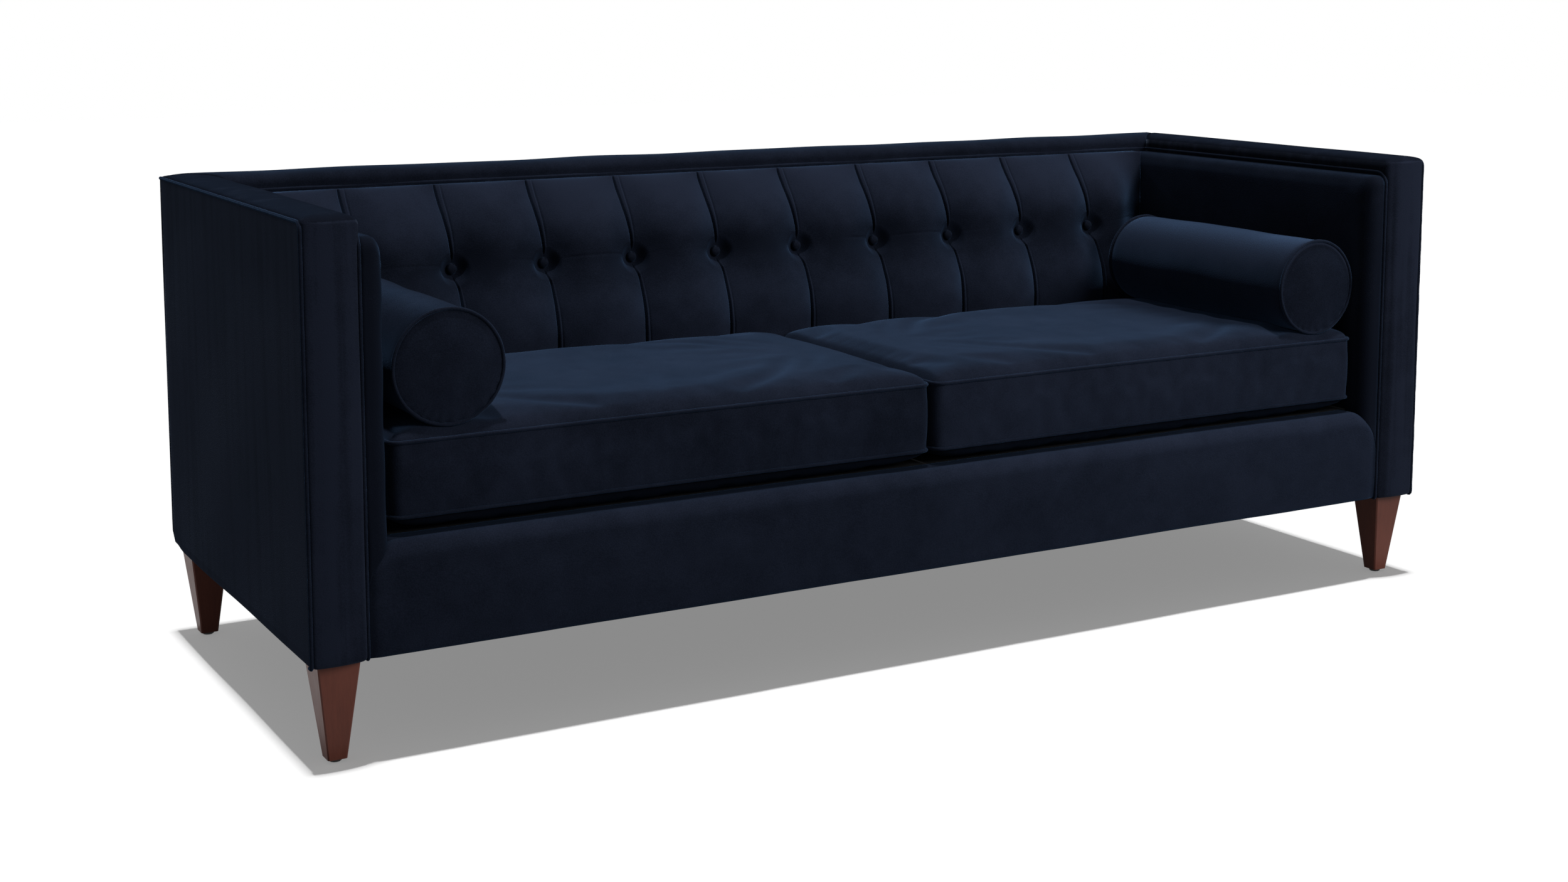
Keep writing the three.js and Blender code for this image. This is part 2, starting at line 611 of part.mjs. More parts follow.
function backPadColumns() {
  const edges = [-backPadHalf, ...pleatPlaces, backPadHalf];
  const columns = [{ x: edges[0], share: 0, dimple: false, corner: true }];
  for (let k = 0; k + 1 < edges.length; k++) {
    const [a, b] = [edges[k], edges[k + 1]];
    const low = k === 0 ? a : a + BUTTON_SEAT;
    const high = k + 2 === edges.length ? b : b - BUTTON_SEAT;
    const column = (x, dimple) => columns.push({ x, share: (x - a) / (b - a), dimple });
    if (k > 0) column(low, true);
    for (const share of PANEL_COLUMN_SHARES) column(low + (high - low) * share, false);
    if (k + 2 < edges.length) column(high, true);
    column(b, k + 2 < edges.length);
  }
  columns.at(-1).corner = true;
  return columns;
}

function backPadRows() {
  const low = DECK_HEIGHT + GAP;
  const [dimpleLow, dimpleHigh] = [buttonZ - BUTTON_SEAT, buttonZ + BUTTON_SEAT];
  return [
    ...LOWER_ROW_SHARES.map((share) => ({ z: low + (dimpleLow - low) * share, dimple: false })),
    { z: dimpleLow, dimple: true },
    { z: buttonZ, dimple: true },
    { z: dimpleHigh, dimple: true },
    ...UPPER_ROW_SHARES.map(
      (share) => ({ z: dimpleHigh + (backPadTop - dimpleHigh) * share, dimple: false })),
  ];
}

function backPadGeometry() {
  const columns = backPadColumns();
  const rows = backPadRows();
  const [wide, high] = [columns.length, rows.length];
  const back = innerY - GAP;
  const points = [];
  for (const row of rows) {
    for (const column of columns) {
      const flat = BACK_PAD_BUTTON - rake * (row.z - buttonZ);
      const swelled = pleatThickness(row.z) + panelBulge(column.share, row.z);
      const middle = row.dimple && column.dimple ? flat : swelled;
      const thick = column.corner ? BACK_PAD_CORNER : middle;
      points.push(new THREE.Vector3(column.x, back - thick, row.z));
    }
  }
  const index = [];
  for (let r = 0; r + 1 < high; r++) {
    for (let c = 0; c + 1 < wide; c++) {
      const a = r * wide + c;
      index.push(a, a + 1, a + 1 + wide, a, a + 1 + wide, a + wide);
    }
  }
  const rim = [];
  for (let c = 0; c < wide; c++) rim.push(c);
  for (let r = 1; r < high; r++) rim.push(r * wide + wide - 1);
  for (let c = wide - 2; c >= 0; c--) rim.push((high - 1) * wide + c);
  for (let r = high - 2; r > 0; r--) rim.push(r * wide);
  const start = points.length;
  for (const k of rim) points.push(new THREE.Vector3(points[k].x, back, points[k].z));
  rim.forEach((k, n) => {
    const next = (n + 1) % rim.length;
    index.push(rim[next], k, start + n, rim[next], start + n, start + next);
  });
  const outline = rim.map((k) => new THREE.Vector2(points[k].x, points[k].z));
  for (const [a, b, c] of THREE.ShapeUtils.triangulateShape(outline, [])) {
    index.push(start + a, start + c, start + b);
  }
  return outwards(new THREE.BufferGeometry().setFromPoints(points).setIndex(index));
}

function buttonGeometry() {
  const profile = BUTTON_SHARES.map(
    ([radius, height]) => [radius * BUTTON_RADIUS, height * BUTTON_DOME]);
  return turned([[0, 0], ...profile], SMALL_SIDES);
}

function covers() {
  const group = new THREE.Group();
  for (const [name, side] of [['left', -1], ['right', 1]]) {
    group.add(
      piece(`arm_cover_${name}`, armCoverGeometry(side), velvet),
      piece(`arm_pad_${name}`, armPadGeometry(side), velvet),
    );
  }
  group.add(
    piece('back_cover', backCoverGeometry(), velvet),
    piece('back_pad', backPadGeometry(), velvet),
  );
  const normal = new THREE.Vector3(0, -1, rake).normalize();
  const foot = new THREE.Vector3(0, innerY - GAP - BACK_PAD_BUTTON, buttonZ);
  foot.addScaledVector(normal, GAP);
  pleatPlaces.forEach((x, k) => {
    const button = piece(`button_${k + 1}`, buttonGeometry(), velvet, [x, foot.y, foot.z]);
    button.quaternion.setFromUnitVectors(new THREE.Vector3(0, 0, 1), normal);
    group.add(button);
  });
  return group;
}

// Seat cushions: boxed, with a crowned top and underside, sides drawn in between the corners
// and a welt round each edge

// The outline seen from above. Each point has its place on the drawn-in outline and the flat
// place that it would have on a plain rectangle.
function seatOutline(offset) {
  const [a, b] = [seatHalfX, seatHalfY];
  const r = SEAT_CORNER;
  const corners = [[a - r, r - b, -0.5], [a - r, b - r, 0], [r - a, b - r, 0.5], [r - a, r - b, 1]];
  const points = [];
  corners.forEach(([cx, cy, turn], k) => {
    for (let s = 0; s <= CORNER_STEPS; s++) {
      const angle = (turn + 0.5 * s / CORNER_STEPS) * Math.PI;
      const place = [cx + (r + offset) * Math.cos(angle), cy + (r + offset) * Math.sin(angle)];
      points.push({ place, flat: place });
    }
    const flatEnd = (turn + 0.5) * Math.PI;
    const normal = [Math.cos(flatEnd), Math.sin(flatEnd)];
    const [nx, ny] = corners[(k + 1) % corners.length];
    for (let s = 1; s < SIDE_STEPS; s++) {
      const share = s / SIDE_STEPS;
      const drawn = SEAT_DRAW_IN * (1 - (2 * share - 1) ** 2);
      const flat = [0, 1].map(
        (i) => [cx, cy][i] + ([nx, ny][i] - [cx, cy][i]) * share + (r + offset) * normal[i]);
      points.push({ place: flat.map((v, i) => v - drawn * normal[i]), flat });
    }
  });
  return points;
}

// Height of the crown over its edge, as a share: square in plan, falling steeply at the rim.
function crownShare(x, y) {
  const u = Math.min(Math.abs(x / seatHalfX), 1);
  const v = Math.min(Math.abs(y / seatHalfY), 1);
  return (1 - u ** CROWN_POWER) * (1 - v ** CROWN_POWER);
}

function seatCushionGeometry() {
  const lower = SEAT_UNDER;
  const upper = SEAT_UNDER + SEAT_BAND;
  const plain = seatOutline(0);
  const level = (z, offset) => seatOutline(offset).map(
    ({ place }) => new THREE.Vector3(place[0], place[1], z));
  const crowned = (z, rise, share) => plain.map(({ place, flat }) => new THREE.Vector3(
    place[0] * share, place[1] * share, z + rise * crownShare(flat[0] * share, flat[1] * share)));
  const rings = [];
  for (const share of CROWN_RING_SHARES) rings.push(crowned(lower, -SEAT_UNDER, share));
  rings.push(level(lower - WELT, 0), level(lower, WELT), level(lower + WELT, 0));
  rings.push(level((lower + upper) / 2, SEAT_BAND_BULGE));
  rings.push(level(upper - WELT, 0), level(upper, WELT), level(upper + WELT, 0));
  for (const share of CROWN_RING_SHARES.toReversed()) rings.push(crowned(upper, SEAT_CROWN, share));
  return loft(rings);
}

// Bolsters: turned forms lying front to back, set down on the crown of the seat cushion

function bolsterGeometry() {
  const half = (bolsterBack - bolsterFront) / 2;
  const r = BOLSTER_RADIUS;
  const end = [
    ...CAP_SHARES.map(([radius, bulge]) => [r * radius, half + BOLSTER_CAP * bulge]),
    [r, half], [r + WELT, half - WELT], [r, half - 2 * WELT], [r + BOLSTER_BELLY / 2, half / 2],
  ];
  const start = end.map(([radius, height]) => [radius, -height]);
  return turned([...start, [r + BOLSTER_BELLY, 0], ...end.toReversed()], ROUND_SIDES);
}

// The crown at mid depth, as a share of its height, on the straight facets between the rings.
function crownAcross(x) {
  const share = Math.min(Math.abs(x) / (seatHalfX - SEAT_DRAW_IN), 1);
  const stops = [0, ...CROWN_RING_SHARES, 1];
  const k = Math.max(stops.findIndex((stop) => stop >= share), 1);
  const [low, high] = [stops[k - 1], stops[k]];
  return THREE.MathUtils.lerp(crownShare(low * seatHalfX, 0), crownShare(high * seatHalfX, 0),
    (share - low) / (high - low));
}

// Height of the bolster's axis over the cushion's upper welt, where its many-sided underside
// just clears the crown.
function bolsterRest(x) {
  const radius = BOLSTER_RADIUS + BOLSTER_BELLY;
  let rest = 0;
  for (let k = -REST_SAMPLES; k <= REST_SAMPLES; k++) {
    const side = ROUND_SIDES / 4 * k / REST_SAMPLES;
    const angles = [Math.floor(side), Math.ceil(side)].map((n) => 2 * Math.PI * n / ROUND_SIDES);
    const along = side - Math.floor(side);
    const across = radius * THREE.MathUtils.lerp(...angles.map(Math.sin), along);
    const drop = radius * THREE.MathUtils.lerp(...angles.map(Math.cos), along);
    rest = Math.max(rest, SEAT_CROWN * crownAcross(x + across - seatX) + drop);
  }
  return rest + GAP;
}

function looseCushions() {
  const group = new THREE.Group();
  const seatLevel = DECK_HEIGHT + GAP;
  const gaps = [['left', -1, BOLSTER_LEFT_GAP], ['right', 1, BOLSTER_RIGHT_GAP]];
  for (const [name, side, gap] of gaps) {
    group.add(piece(`seat_cushion_${name}`, seatCushionGeometry(), velvet,
      [side * seatX, seatY, seatLevel]));
    const x = padX - gap - BOLSTER_RADIUS - WELT;
    const y = (bolsterFront + bolsterBack) / 2;
    const z = seatLevel + SEAT_UNDER + SEAT_BAND + bolsterRest(x);
    const bolster = piece(`bolster_${name}`, bolsterGeometry(), velvet, [side * x, y, z]);
    bolster.rotation.x = Math.PI / 2;
    group.add(bolster);
  }
  return group;
}

const sofa = new THREE.Group();
sofa.add(legs(), frame(), seatBase(), covers(), looseCushions());
export default sofa;
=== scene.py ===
# %% [markdown]
# # A tuxedo sofa in midnight-blue velvet
# This notebook dresses the carpenter's model of a sofa. The frame, legs, springs and the plain
# solids of the padding are already there; here each soft piece gets the surface that an
# upholsterer gives it: velvet pulled over foam, welts along the seams, pleats and buttons.
# Everything is in metres, +Z up, and the sofa faces -Y.

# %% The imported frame
import math

import bmesh
import bpy
import numpy as np
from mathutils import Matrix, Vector


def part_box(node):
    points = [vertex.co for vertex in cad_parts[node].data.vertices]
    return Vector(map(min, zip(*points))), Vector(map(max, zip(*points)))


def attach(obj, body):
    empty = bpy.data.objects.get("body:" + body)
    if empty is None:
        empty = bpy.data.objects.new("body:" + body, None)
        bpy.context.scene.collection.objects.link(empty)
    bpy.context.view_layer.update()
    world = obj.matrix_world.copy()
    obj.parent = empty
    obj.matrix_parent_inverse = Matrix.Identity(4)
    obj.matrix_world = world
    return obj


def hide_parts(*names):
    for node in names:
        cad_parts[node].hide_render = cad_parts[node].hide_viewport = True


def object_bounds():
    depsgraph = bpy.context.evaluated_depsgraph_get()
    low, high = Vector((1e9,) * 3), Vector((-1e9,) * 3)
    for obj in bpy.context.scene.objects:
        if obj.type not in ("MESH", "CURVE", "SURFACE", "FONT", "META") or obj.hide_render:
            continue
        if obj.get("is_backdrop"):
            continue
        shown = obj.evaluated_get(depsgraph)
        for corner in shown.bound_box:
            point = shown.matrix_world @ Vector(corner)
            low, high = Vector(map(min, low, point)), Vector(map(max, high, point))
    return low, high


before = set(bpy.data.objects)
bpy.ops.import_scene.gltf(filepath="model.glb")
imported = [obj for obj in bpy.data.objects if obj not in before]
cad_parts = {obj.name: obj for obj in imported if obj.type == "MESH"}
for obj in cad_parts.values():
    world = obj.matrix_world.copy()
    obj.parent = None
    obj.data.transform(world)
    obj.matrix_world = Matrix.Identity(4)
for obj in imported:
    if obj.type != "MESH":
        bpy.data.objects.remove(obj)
cad_low, cad_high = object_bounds()
MM = 0.001

# %% [markdown]
# ## The camera
# A catalogue photograph of a sofa is taken from a little above its back, turned about thirty
# degrees and tipped down only a little, so that upright edges stay nearly upright. A view
# camera does that by sliding its film down; a small lens shift does the same here.

# %% Camera
CAMERA_PLACE = (-1.925, -3.249, 1.109)
CAMERA_YAW = 29.62
CAMERA_PITCH = 7.13
CAMERA_LENS = 49.0
CAMERA_SHIFT = -0.12


def aim(yaw, pitch):
    """A camera's rotation: yaw turns from +Y towards +X, pitch tips the view down."""
    a, b = math.radians(yaw), math.radians(pitch)
    ahead = Vector((math.sin(a) * math.cos(b), math.cos(a) * math.cos(b), -math.sin(b)))
    return ahead.to_track_quat("-Z", "Y").to_euler()


camera_data = bpy.data.cameras.new("camera")
camera = bpy.data.objects.new("camera", camera_data)
bpy.context.scene.collection.objects.link(camera)
camera.location = CAMERA_PLACE
camera.rotation_euler = aim(CAMERA_YAW, CAMERA_PITCH)
camera_data.lens = CAMERA_LENS
camera_data.sensor_width = 36
camera_data.shift_y = CAMERA_SHIFT
bpy.context.scene.camera = camera
print("camera at", CAMERA_PLACE)

# %% [markdown]
# ## Material recipes
# Every finish here is made in one way. Some noises, each with its own size and stretch, are
# spread over a range and added up. The sum says where the colour lies between a dark and a
# light one. One of the noises also varies the roughness, and one may raise a faint relief.

# %% Material helpers
def node_adder(tree):
    """A function that adds a node to a tree, sets it up, and joins or fills its inputs."""
    def add(kind, inputs=None, **settings):
        node = tree.nodes.new("ShaderNode" + kind)
        for key, value in settings.items():
            setattr(node, key, value)
        for key, value in (inputs or {}).items():
            if isinstance(value, bpy.types.NodeSocket):
                tree.links.new(value, node.inputs[key])
            else:
                node.inputs[key].default_value = value
        return node

    return add


def arithmetic(add, operation, a, b):
    """One sum or product of two values, or the larger of them."""
    return add("Math", {0: a, 1: b}, operation=operation).outputs["Value"]


def noise_of(add, place, scale, detail=2.0, roughness=0.5, stretch=(1, 1, 1)):
    """A noise value from 0 to 1 at a scale per metre, stretched along the axes."""
    spread = add("Mapping", {"Vector": place, "Scale": stretch})
    cloud = add("TexNoise", {"Vector": spread.outputs["Vector"], "Scale": scale,
                             "Detail": detail, "Roughness": roughness})
    return cloud.outputs["Fac"]


def ranged(add, value, low, high):
    """The value, centred on a half, spread over low to high."""
    node = add("MapRange", {"Value": value, "From Min": 0.3, "From Max": 0.7,
                            "To Min": low, "To Max": high})
    return node.outputs["Result"]


def between(add, share, dark, light):
    """The colour at a share of the way from one colour to another."""
    node = add("Mix", {0: share, "A": dark, "B": light}, data_type="RGBA")
    return node.outputs["Result"]


def material_of(name, noises, shade, colours, rough, relief=None, with_painted_shading=False, sockets=None):
    """A material made by one recipe.

    noises gives each noise's scale, detail, roughness and stretch. shade lists the noises that
    move the colour, each with its range; rough is one noise with its range, and relief is one
    with the bump's strength and depth. A material with painted shading adds the painted light
    and shade that its points carry.
    sockets holds the shader's remaining inputs.
    """
    material = bpy.data.materials.new(name)
    material.use_nodes = True
    material.node_tree.nodes.clear()
    add = node_adder(material.node_tree)
    place = add("TexCoord").outputs["Object"]
    pattern = {key: noise_of(add, place, *recipe) for key, recipe in noises.items()}
    parts = [ranged(add, pattern[key], low, high) for key, low, high in shade]
    # Painted light and shade: the nap value at the points moves the colour.
    if with_painted_shading:
        parts += [add("Attribute", attribute_name="nap").outputs["Fac"], 0.5]
    share = parts[0]
    for part in parts[1:]:
        share = arithmetic(add, "ADD", share, part)
    key, low, high = rough
    inputs = {"Base Color": between(add, share, *colours),
              "Roughness": ranged(add, pattern[key], low, high)}
    if relief:
        key, strength, depth = relief
        bump = add("Bump", {"Height": pattern[key], "Strength": strength, "Distance": depth})
        inputs["Normal"] = bump.outputs["Normal"]
    shader = add("BsdfPrincipled", inputs | (sockets or {}))
    add("OutputMaterial", {"Surface": shader.outputs["BSDF"]})
    return material


# %% [markdown]
# ## Velvet
# Velvet is a short upright pile. Seen straight on, light sinks between the hairs and the
# cloth looks almost black; seen along the surface, the hair tips catch it and it turns blue.
# The sheen layer gives that. Wherever a hand or a seam has turned the pile, the shade drifts,
# so soft clouds of two sizes change the colour, and a fine grain stands for the hair tips.
# A piece may also carry a value named nap at its points. It is painted light and shade: below
# nought the colour moves towards the dark one, above nought towards the light one. The sheen is
# one number for a whole material, so there are also copies of the velvet with less and with more
# sheen, which paint a part darker or lighter.

# %% Velvet material
PILE_SHADOW = (0.0052, 0.0066, 0.0114, 1)
PILE_LIGHT = (0.0121, 0.0155, 0.0274, 1)
SHEEN_TINT = (0.25, 0.50, 0.97, 1)
DUSTY_TINT = (0.42, 0.55, 0.83, 1)


def velvet(name, streaks=0.0, sheen=0.17, tint=SHEEN_TINT, clouding=0.15):
    """Navy velvet; streaks from 0 to 1 adds the upright nap marks of a large flat panel."""
    noises = {"clouds": (6, 2), "patches": (26, 3, 0.6), "grain": (520, 1)}
    shade = [("clouds", -0.2, 0.2), ("patches", -clouding, clouding), ("grain", -0.2, 0.2)]
    if streaks:
        noises["upright"] = (1, 2, 0.6, (42, 42, 1.6))
        shade.append(("upright", -0.5 * streaks, 0.5 * streaks))
    return material_of(name, noises, shade, (PILE_SHADOW, PILE_LIGHT), ("patches", 0.78, 0.92),
                       ("grain", 0.35, 0.9 * MM), with_painted_shading=True,
                       sockets={"Sheen Weight": sheen, "Sheen Roughness": 0.42,
                                "Sheen Tint": tint, "Specular IOR Level": 0.0})


velvet_plain = velvet("velvet")
velvet_panel = velvet("velvet_panel", streaks=1.0, sheen=0.15, tint=DUSTY_TINT)
# Three copies whose sheen paints shade and light: the first two are painted darker, the last
# painted lighter.
velvet_painted_darkest = velvet("velvet_painted_darkest", sheen=0.03, clouding=0.35)
velvet_painted_darker = velvet("velvet_painted_darker", sheen=0.10)
velvet_painted_lighter = velvet("velvet_painted_lighter", sheen=0.31)
# The three brushed ones are the copies painted darker and lighter.
print("velvet made: plain, with upright nap marks, and three that are brushed one way")

# %% [markdown]
# ## Wood, metal, plastic and lining
# The legs are stained hardwood with a satin finish: a red-brown ground with fine grain
# running down the taper. What the cover hides gets an honest finish too: raw boards, bright
# wire, black nylon glides and the black non-woven cloth of the seat deck and the underside.

# %% Other materials
def colour_pair(dark, light):
    """Two colours from the red, green and blue of a dark and a light one."""
    return (*dark, 1), (*light, 1)


stained_wood = material_of(
    "stained_wood",
    {"grain": (1, 4, 0.65, (210, 210, 7)), "pores": (1, 2, 0.5, (900, 900, 24)), "drift": (9, 1)},
    [("grain", 0.35, 0.65), ("drift", -0.2, 0.2), ("pores", -0.06, 0.06)],
    colour_pair((0.082, 0.0255, 0.0180), (0.152, 0.0505, 0.0355)),
    ("grain", 0.34, 0.46), ("pores", 0.12, 0.4 * MM), sockets={"Specular IOR Level": 0.13})
raw_board = material_of(
    "raw_board", {"grain": (1, 4, 0.6, (12, 60, 60))}, [("grain", 0.1, 0.9)],
    colour_pair((0.30, 0.17, 0.08), (0.55, 0.38, 0.21)),
    ("grain", 0.62, 0.78), ("grain", 0.2, 0.6 * MM))
zinc_steel = material_of(
    "zinc_steel", {"cloud": (60, 3)}, [("cloud", 0.2, 0.8)],
    colour_pair((0.33, 0.34, 0.35), (0.52, 0.53, 0.54)),
    ("cloud", 0.30, 0.45), sockets={"Metallic": 1.0})
black_nylon = material_of(
    "black_nylon", {"grain": (1400, 1)}, [("grain", 0.2, 0.8)],
    colour_pair((0.004, 0.004, 0.004), (0.011, 0.011, 0.011)),
    ("grain", 0.42, 0.56), ("grain", 0.2, 0.2 * MM))
lining_cloth = material_of(
    "lining_cloth", {"fibres": (380, 4, 0.7), "patches": (30, 2)},
    [("fibres", 0.2, 0.7), ("patches", -0.1, 0.1)],
    colour_pair((0.002, 0.0021, 0.0025), (0.007, 0.0073, 0.0082)),
    ("fibres", 0.85, 0.98), ("fibres", 0.4, 0.5 * MM), sockets={"Specular IOR Level": 0.05})
FINISHES = {"leg_wood": stained_wood, "frame_wood": raw_board, "steel": zinc_steel,
            "glide_plastic": black_nylon, "lining": lining_cloth, "velvet": velvet_plain}
print("finishes:", ", ".join(FINISHES))

# %% [markdown]
# ## Finishing the carpenter's pieces
# Legs, glides, bolts, plates, boards and springs already have their true shape, so they only
# take a finish. A name says which: everything with steel in its job ends in bolt, plate or
# spring, and the boards all start with frame.

# %% Finishes on the frame's own pieces
FINISH_OF_WORD = {"leg_bolt": "steel", "leg_plate": "steel", "seat_spring": "steel",
                  "frame": "frame_wood", "glide": "glide_plastic", "leg": "leg_wood"}
finished = 0
for node_name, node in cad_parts.items():
    for word, finish in FINISH_OF_WORD.items():
        if node_name.startswith(word):
            node.data.materials.clear()
            node.data.materials.append(FINISHES[finish])
            finished += 1
            break
print("finished", finished, "pieces of the frame")

# %% [markdown]
# ## Surfaces as grids
# Every soft piece below is a sheet: rows and columns of points worked out with numpy, then
# handed to Blender as one mesh. The first helpers turn grids into faces, open or closed. The
# next make and read a mesh, and the last give it thickness, a second velvet, painted light and
# shade, and say what it is.

# %% Mesh helpers
MERGE = 2e-6
FLAT = 1e-7


def grid_faces(rows, columns, wrap=False, start=0):
    """Quads of a grid numbered row by row; wrap joins the last column to the first."""
    r, c = np.meshgrid(np.arange(rows - 1), np.arange(columns if wrap else columns - 1),
                       indexing="ij")
    n = (c + 1) % columns
    quads = [r * columns + c, r * columns + n, (r + 1) * columns + n, (r + 1) * columns + c]
    return start + np.stack(quads, -1).reshape(-1, 4)


def capped_faces(rows, columns):
    """Quads of a grid that runs round, and one face that fills its first row."""
    return grid_faces(rows, columns, wrap=True).tolist() + [list(range(columns))]


def edge_loop(grid):
    """What lies round a grid's edge, in order."""
    return np.concatenate([grid[0, :-1], grid[:-1, -1], grid[-1, :0:-1], grid[:0:-1, 0]])


def closed_behind(grid, axis, depth):
    """A grid, a rim straight back to a plane across an axis, and one face that fills it."""
    rows, columns = grid.shape[:2]
    count = rows * columns
    loop = edge_loop(np.arange(count).reshape(rows, columns))
    behind = grid.reshape(-1, 3)[loop]
    behind[:, axis] = depth
    new = count + np.arange(len(loop))
    rim = np.stack([loop, np.roll(loop, -1), np.roll(new, -1), new], 1)
    faces = grid_faces(rows, columns).tolist() + rim.tolist() + [new.tolist()]
    return np.concatenate([grid.reshape(-1, 3), behind]), faces


def mesh_object(name, points, faces, material, centre=None):
    """A smooth mesh with doubled points merged and its faces turned outwards.

    An open sheet also takes a centre, a place behind it, and its faces turn away from that.
    """
    mesh = bpy.data.meshes.new(name)
    mesh.from_pydata(np.asarray(points).reshape(-1, 3).tolist(), [], [list(f) for f in faces])
    form = bmesh.new()
    form.from_mesh(mesh)
    bmesh.ops.remove_doubles(form, verts=form.verts, dist=MERGE)
    bmesh.ops.dissolve_degenerate(form, edges=form.edges, dist=FLAT)
    bmesh.ops.recalc_face_normals(form, faces=form.faces)
    if centre is not None:
        middle = Vector(centre)
        out = sum((f.calc_center_median() - middle).dot(f.normal) * f.calc_area()
                  for f in form.faces)
        if out < 0:
            bmesh.ops.reverse_faces(form, faces=form.faces)
    form.to_mesh(mesh)
    form.free()
    shade_smooth(mesh)
    mesh.materials.append(material)
    mesh.update()
    piece = bpy.data.objects.new(name, mesh)
    bpy.context.scene.collection.objects.link(piece)
    return piece


def shade_smooth(mesh):
    """Makes every face of a mesh shade smoothly."""
    mesh.polygons.foreach_set("use_smooth", np.ones(len(mesh.polygons), bool))


def coordinates(mesh):
    """A mesh's points as an array."""
    flat = np.empty(len(mesh.vertices) * 3)
    mesh.vertices.foreach_get("co", flat)
    return flat.reshape(-1, 3)


def grid_normals(points):
    """Unit normals of a grid: the cross product of its slopes along rows and columns."""
    normal = np.cross(np.gradient(points, axis=1), np.gradient(points, axis=0))
    return normal / np.maximum(np.linalg.norm(normal, axis=-1, keepdims=True), 1e-12)


def quarter(count):
    """Angles from nought to a right angle."""
    return np.linspace(0, np.pi / 2, count)


def whole_turn(count):
    """Angles once round a circle."""
    return np.linspace(0, 2 * np.pi, count + 1)[:-1]


def thicken(piece, thickness):
    """Gives an open sheet a thickness inwards."""
    shell = piece.modifiers.new("thickness", "SOLIDIFY")
    shell.thickness = thickness
    shell.offset = -1


def second_velvet(piece, material, rule):
    """Adds a second material, for the faces whose middle the rule picks."""
    piece.data.materials.append(material)
    picked = [rule(face.center) for face in piece.data.polygons]
    piece.data.polygons.foreach_set("material_index", np.array(picked, np.int32))


def set_painted_shading(piece, rule):
    """Stores painted light and shade at each point, as a value named nap; rule turns the points'
    places into values.
    """
    places = coordinates(piece.data)
    layer = piece.data.attributes.new("nap", "FLOAT", "POINT")
    layer.data.foreach_set("value", np.asarray(rule(places), np.float32))


def dress(piece, body, slot, *nodes, fill=None):
    """Says what a piece rides on and hides the solids that it stands for; slot and fill are not
    used.
    """
    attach(piece, body)
    if nodes:
        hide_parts(*nodes)
    return piece


# %% [markdown]
# ## Small irregularities
# Foam and cloth are never dead straight. A sum of a few sine waves with seeded directions
# gives a smooth, repeatable unevenness, which moves a surface by a millimetre or less. A seam
# pulls the cloth down beside it, so points near a seam's path sink a little.

# %% Unevenness and seams
def unevenness(points, wavelength, seed, waves=7):
    """A smooth value from about -1 to 1: a sum of sines along seeded directions."""
    chance = np.random.default_rng(seed)
    directions = chance.normal(size=(waves, 3))
    directions /= np.linalg.norm(directions, axis=1, keepdims=True)
    rates = 2 * np.pi / wavelength * chance.uniform(0.6, 1.6, waves)
    phases = chance.uniform(0, 2 * np.pi, waves)
    return np.sin(points @ (directions * rates[:, None]).T + phases).sum(-1) / math.sqrt(waves)


def distance_to(points, path):
    """The distance from each point to the nearest of a path's points."""
    flat = points.reshape(-1, 3)
    best = np.full(len(flat), np.inf)
    for part in np.array_split(path, max(1, len(path) // 40)):
        best = np.minimum(best, np.linalg.norm(flat[:, None] - part[None], axis=-1).min(1))
    return best.reshape(points.shape[:-1])


def bell(distance, width):
    """One at zero distance, falling away like a bell curve of that width."""
    return np.exp(-(distance / width) ** 2)


def smooth(value, low, high):
    """Nought below low, one above high, and an even slope between."""
    share = np.clip((value - low) / (high - low), 0, 1)
    return share * share * (3 - 2 * share)


# %% [markdown]
# ## Welts
# A welt is a cord wrapped in the same velvet and sewn into the seam. It is a thin tube along
# the seam's path. The cover puckers a little round the cord, so the tube's radius changes
# slowly along its length.

# %% Welt tube
WELT_RADIUS = 2.9 * MM
WELT_SIDES = 10


def evenly(path, step, closed=False):
    """The path's points again, spaced evenly about a step apart."""
    line = np.vstack([path, path[:1]]) if closed else np.asarray(path, float)
    lengths = np.linalg.norm(np.diff(line, axis=0), axis=1)
    travelled = np.concatenate([[0], np.cumsum(lengths)])
    count = max(3, int(round(travelled[-1] / step)))
    marks = np.linspace(0, travelled[-1], count + 1)
    if closed:
        marks = marks[:-1]
    return np.stack([np.interp(marks, travelled, line[:, k]) for k in range(3)], 1)


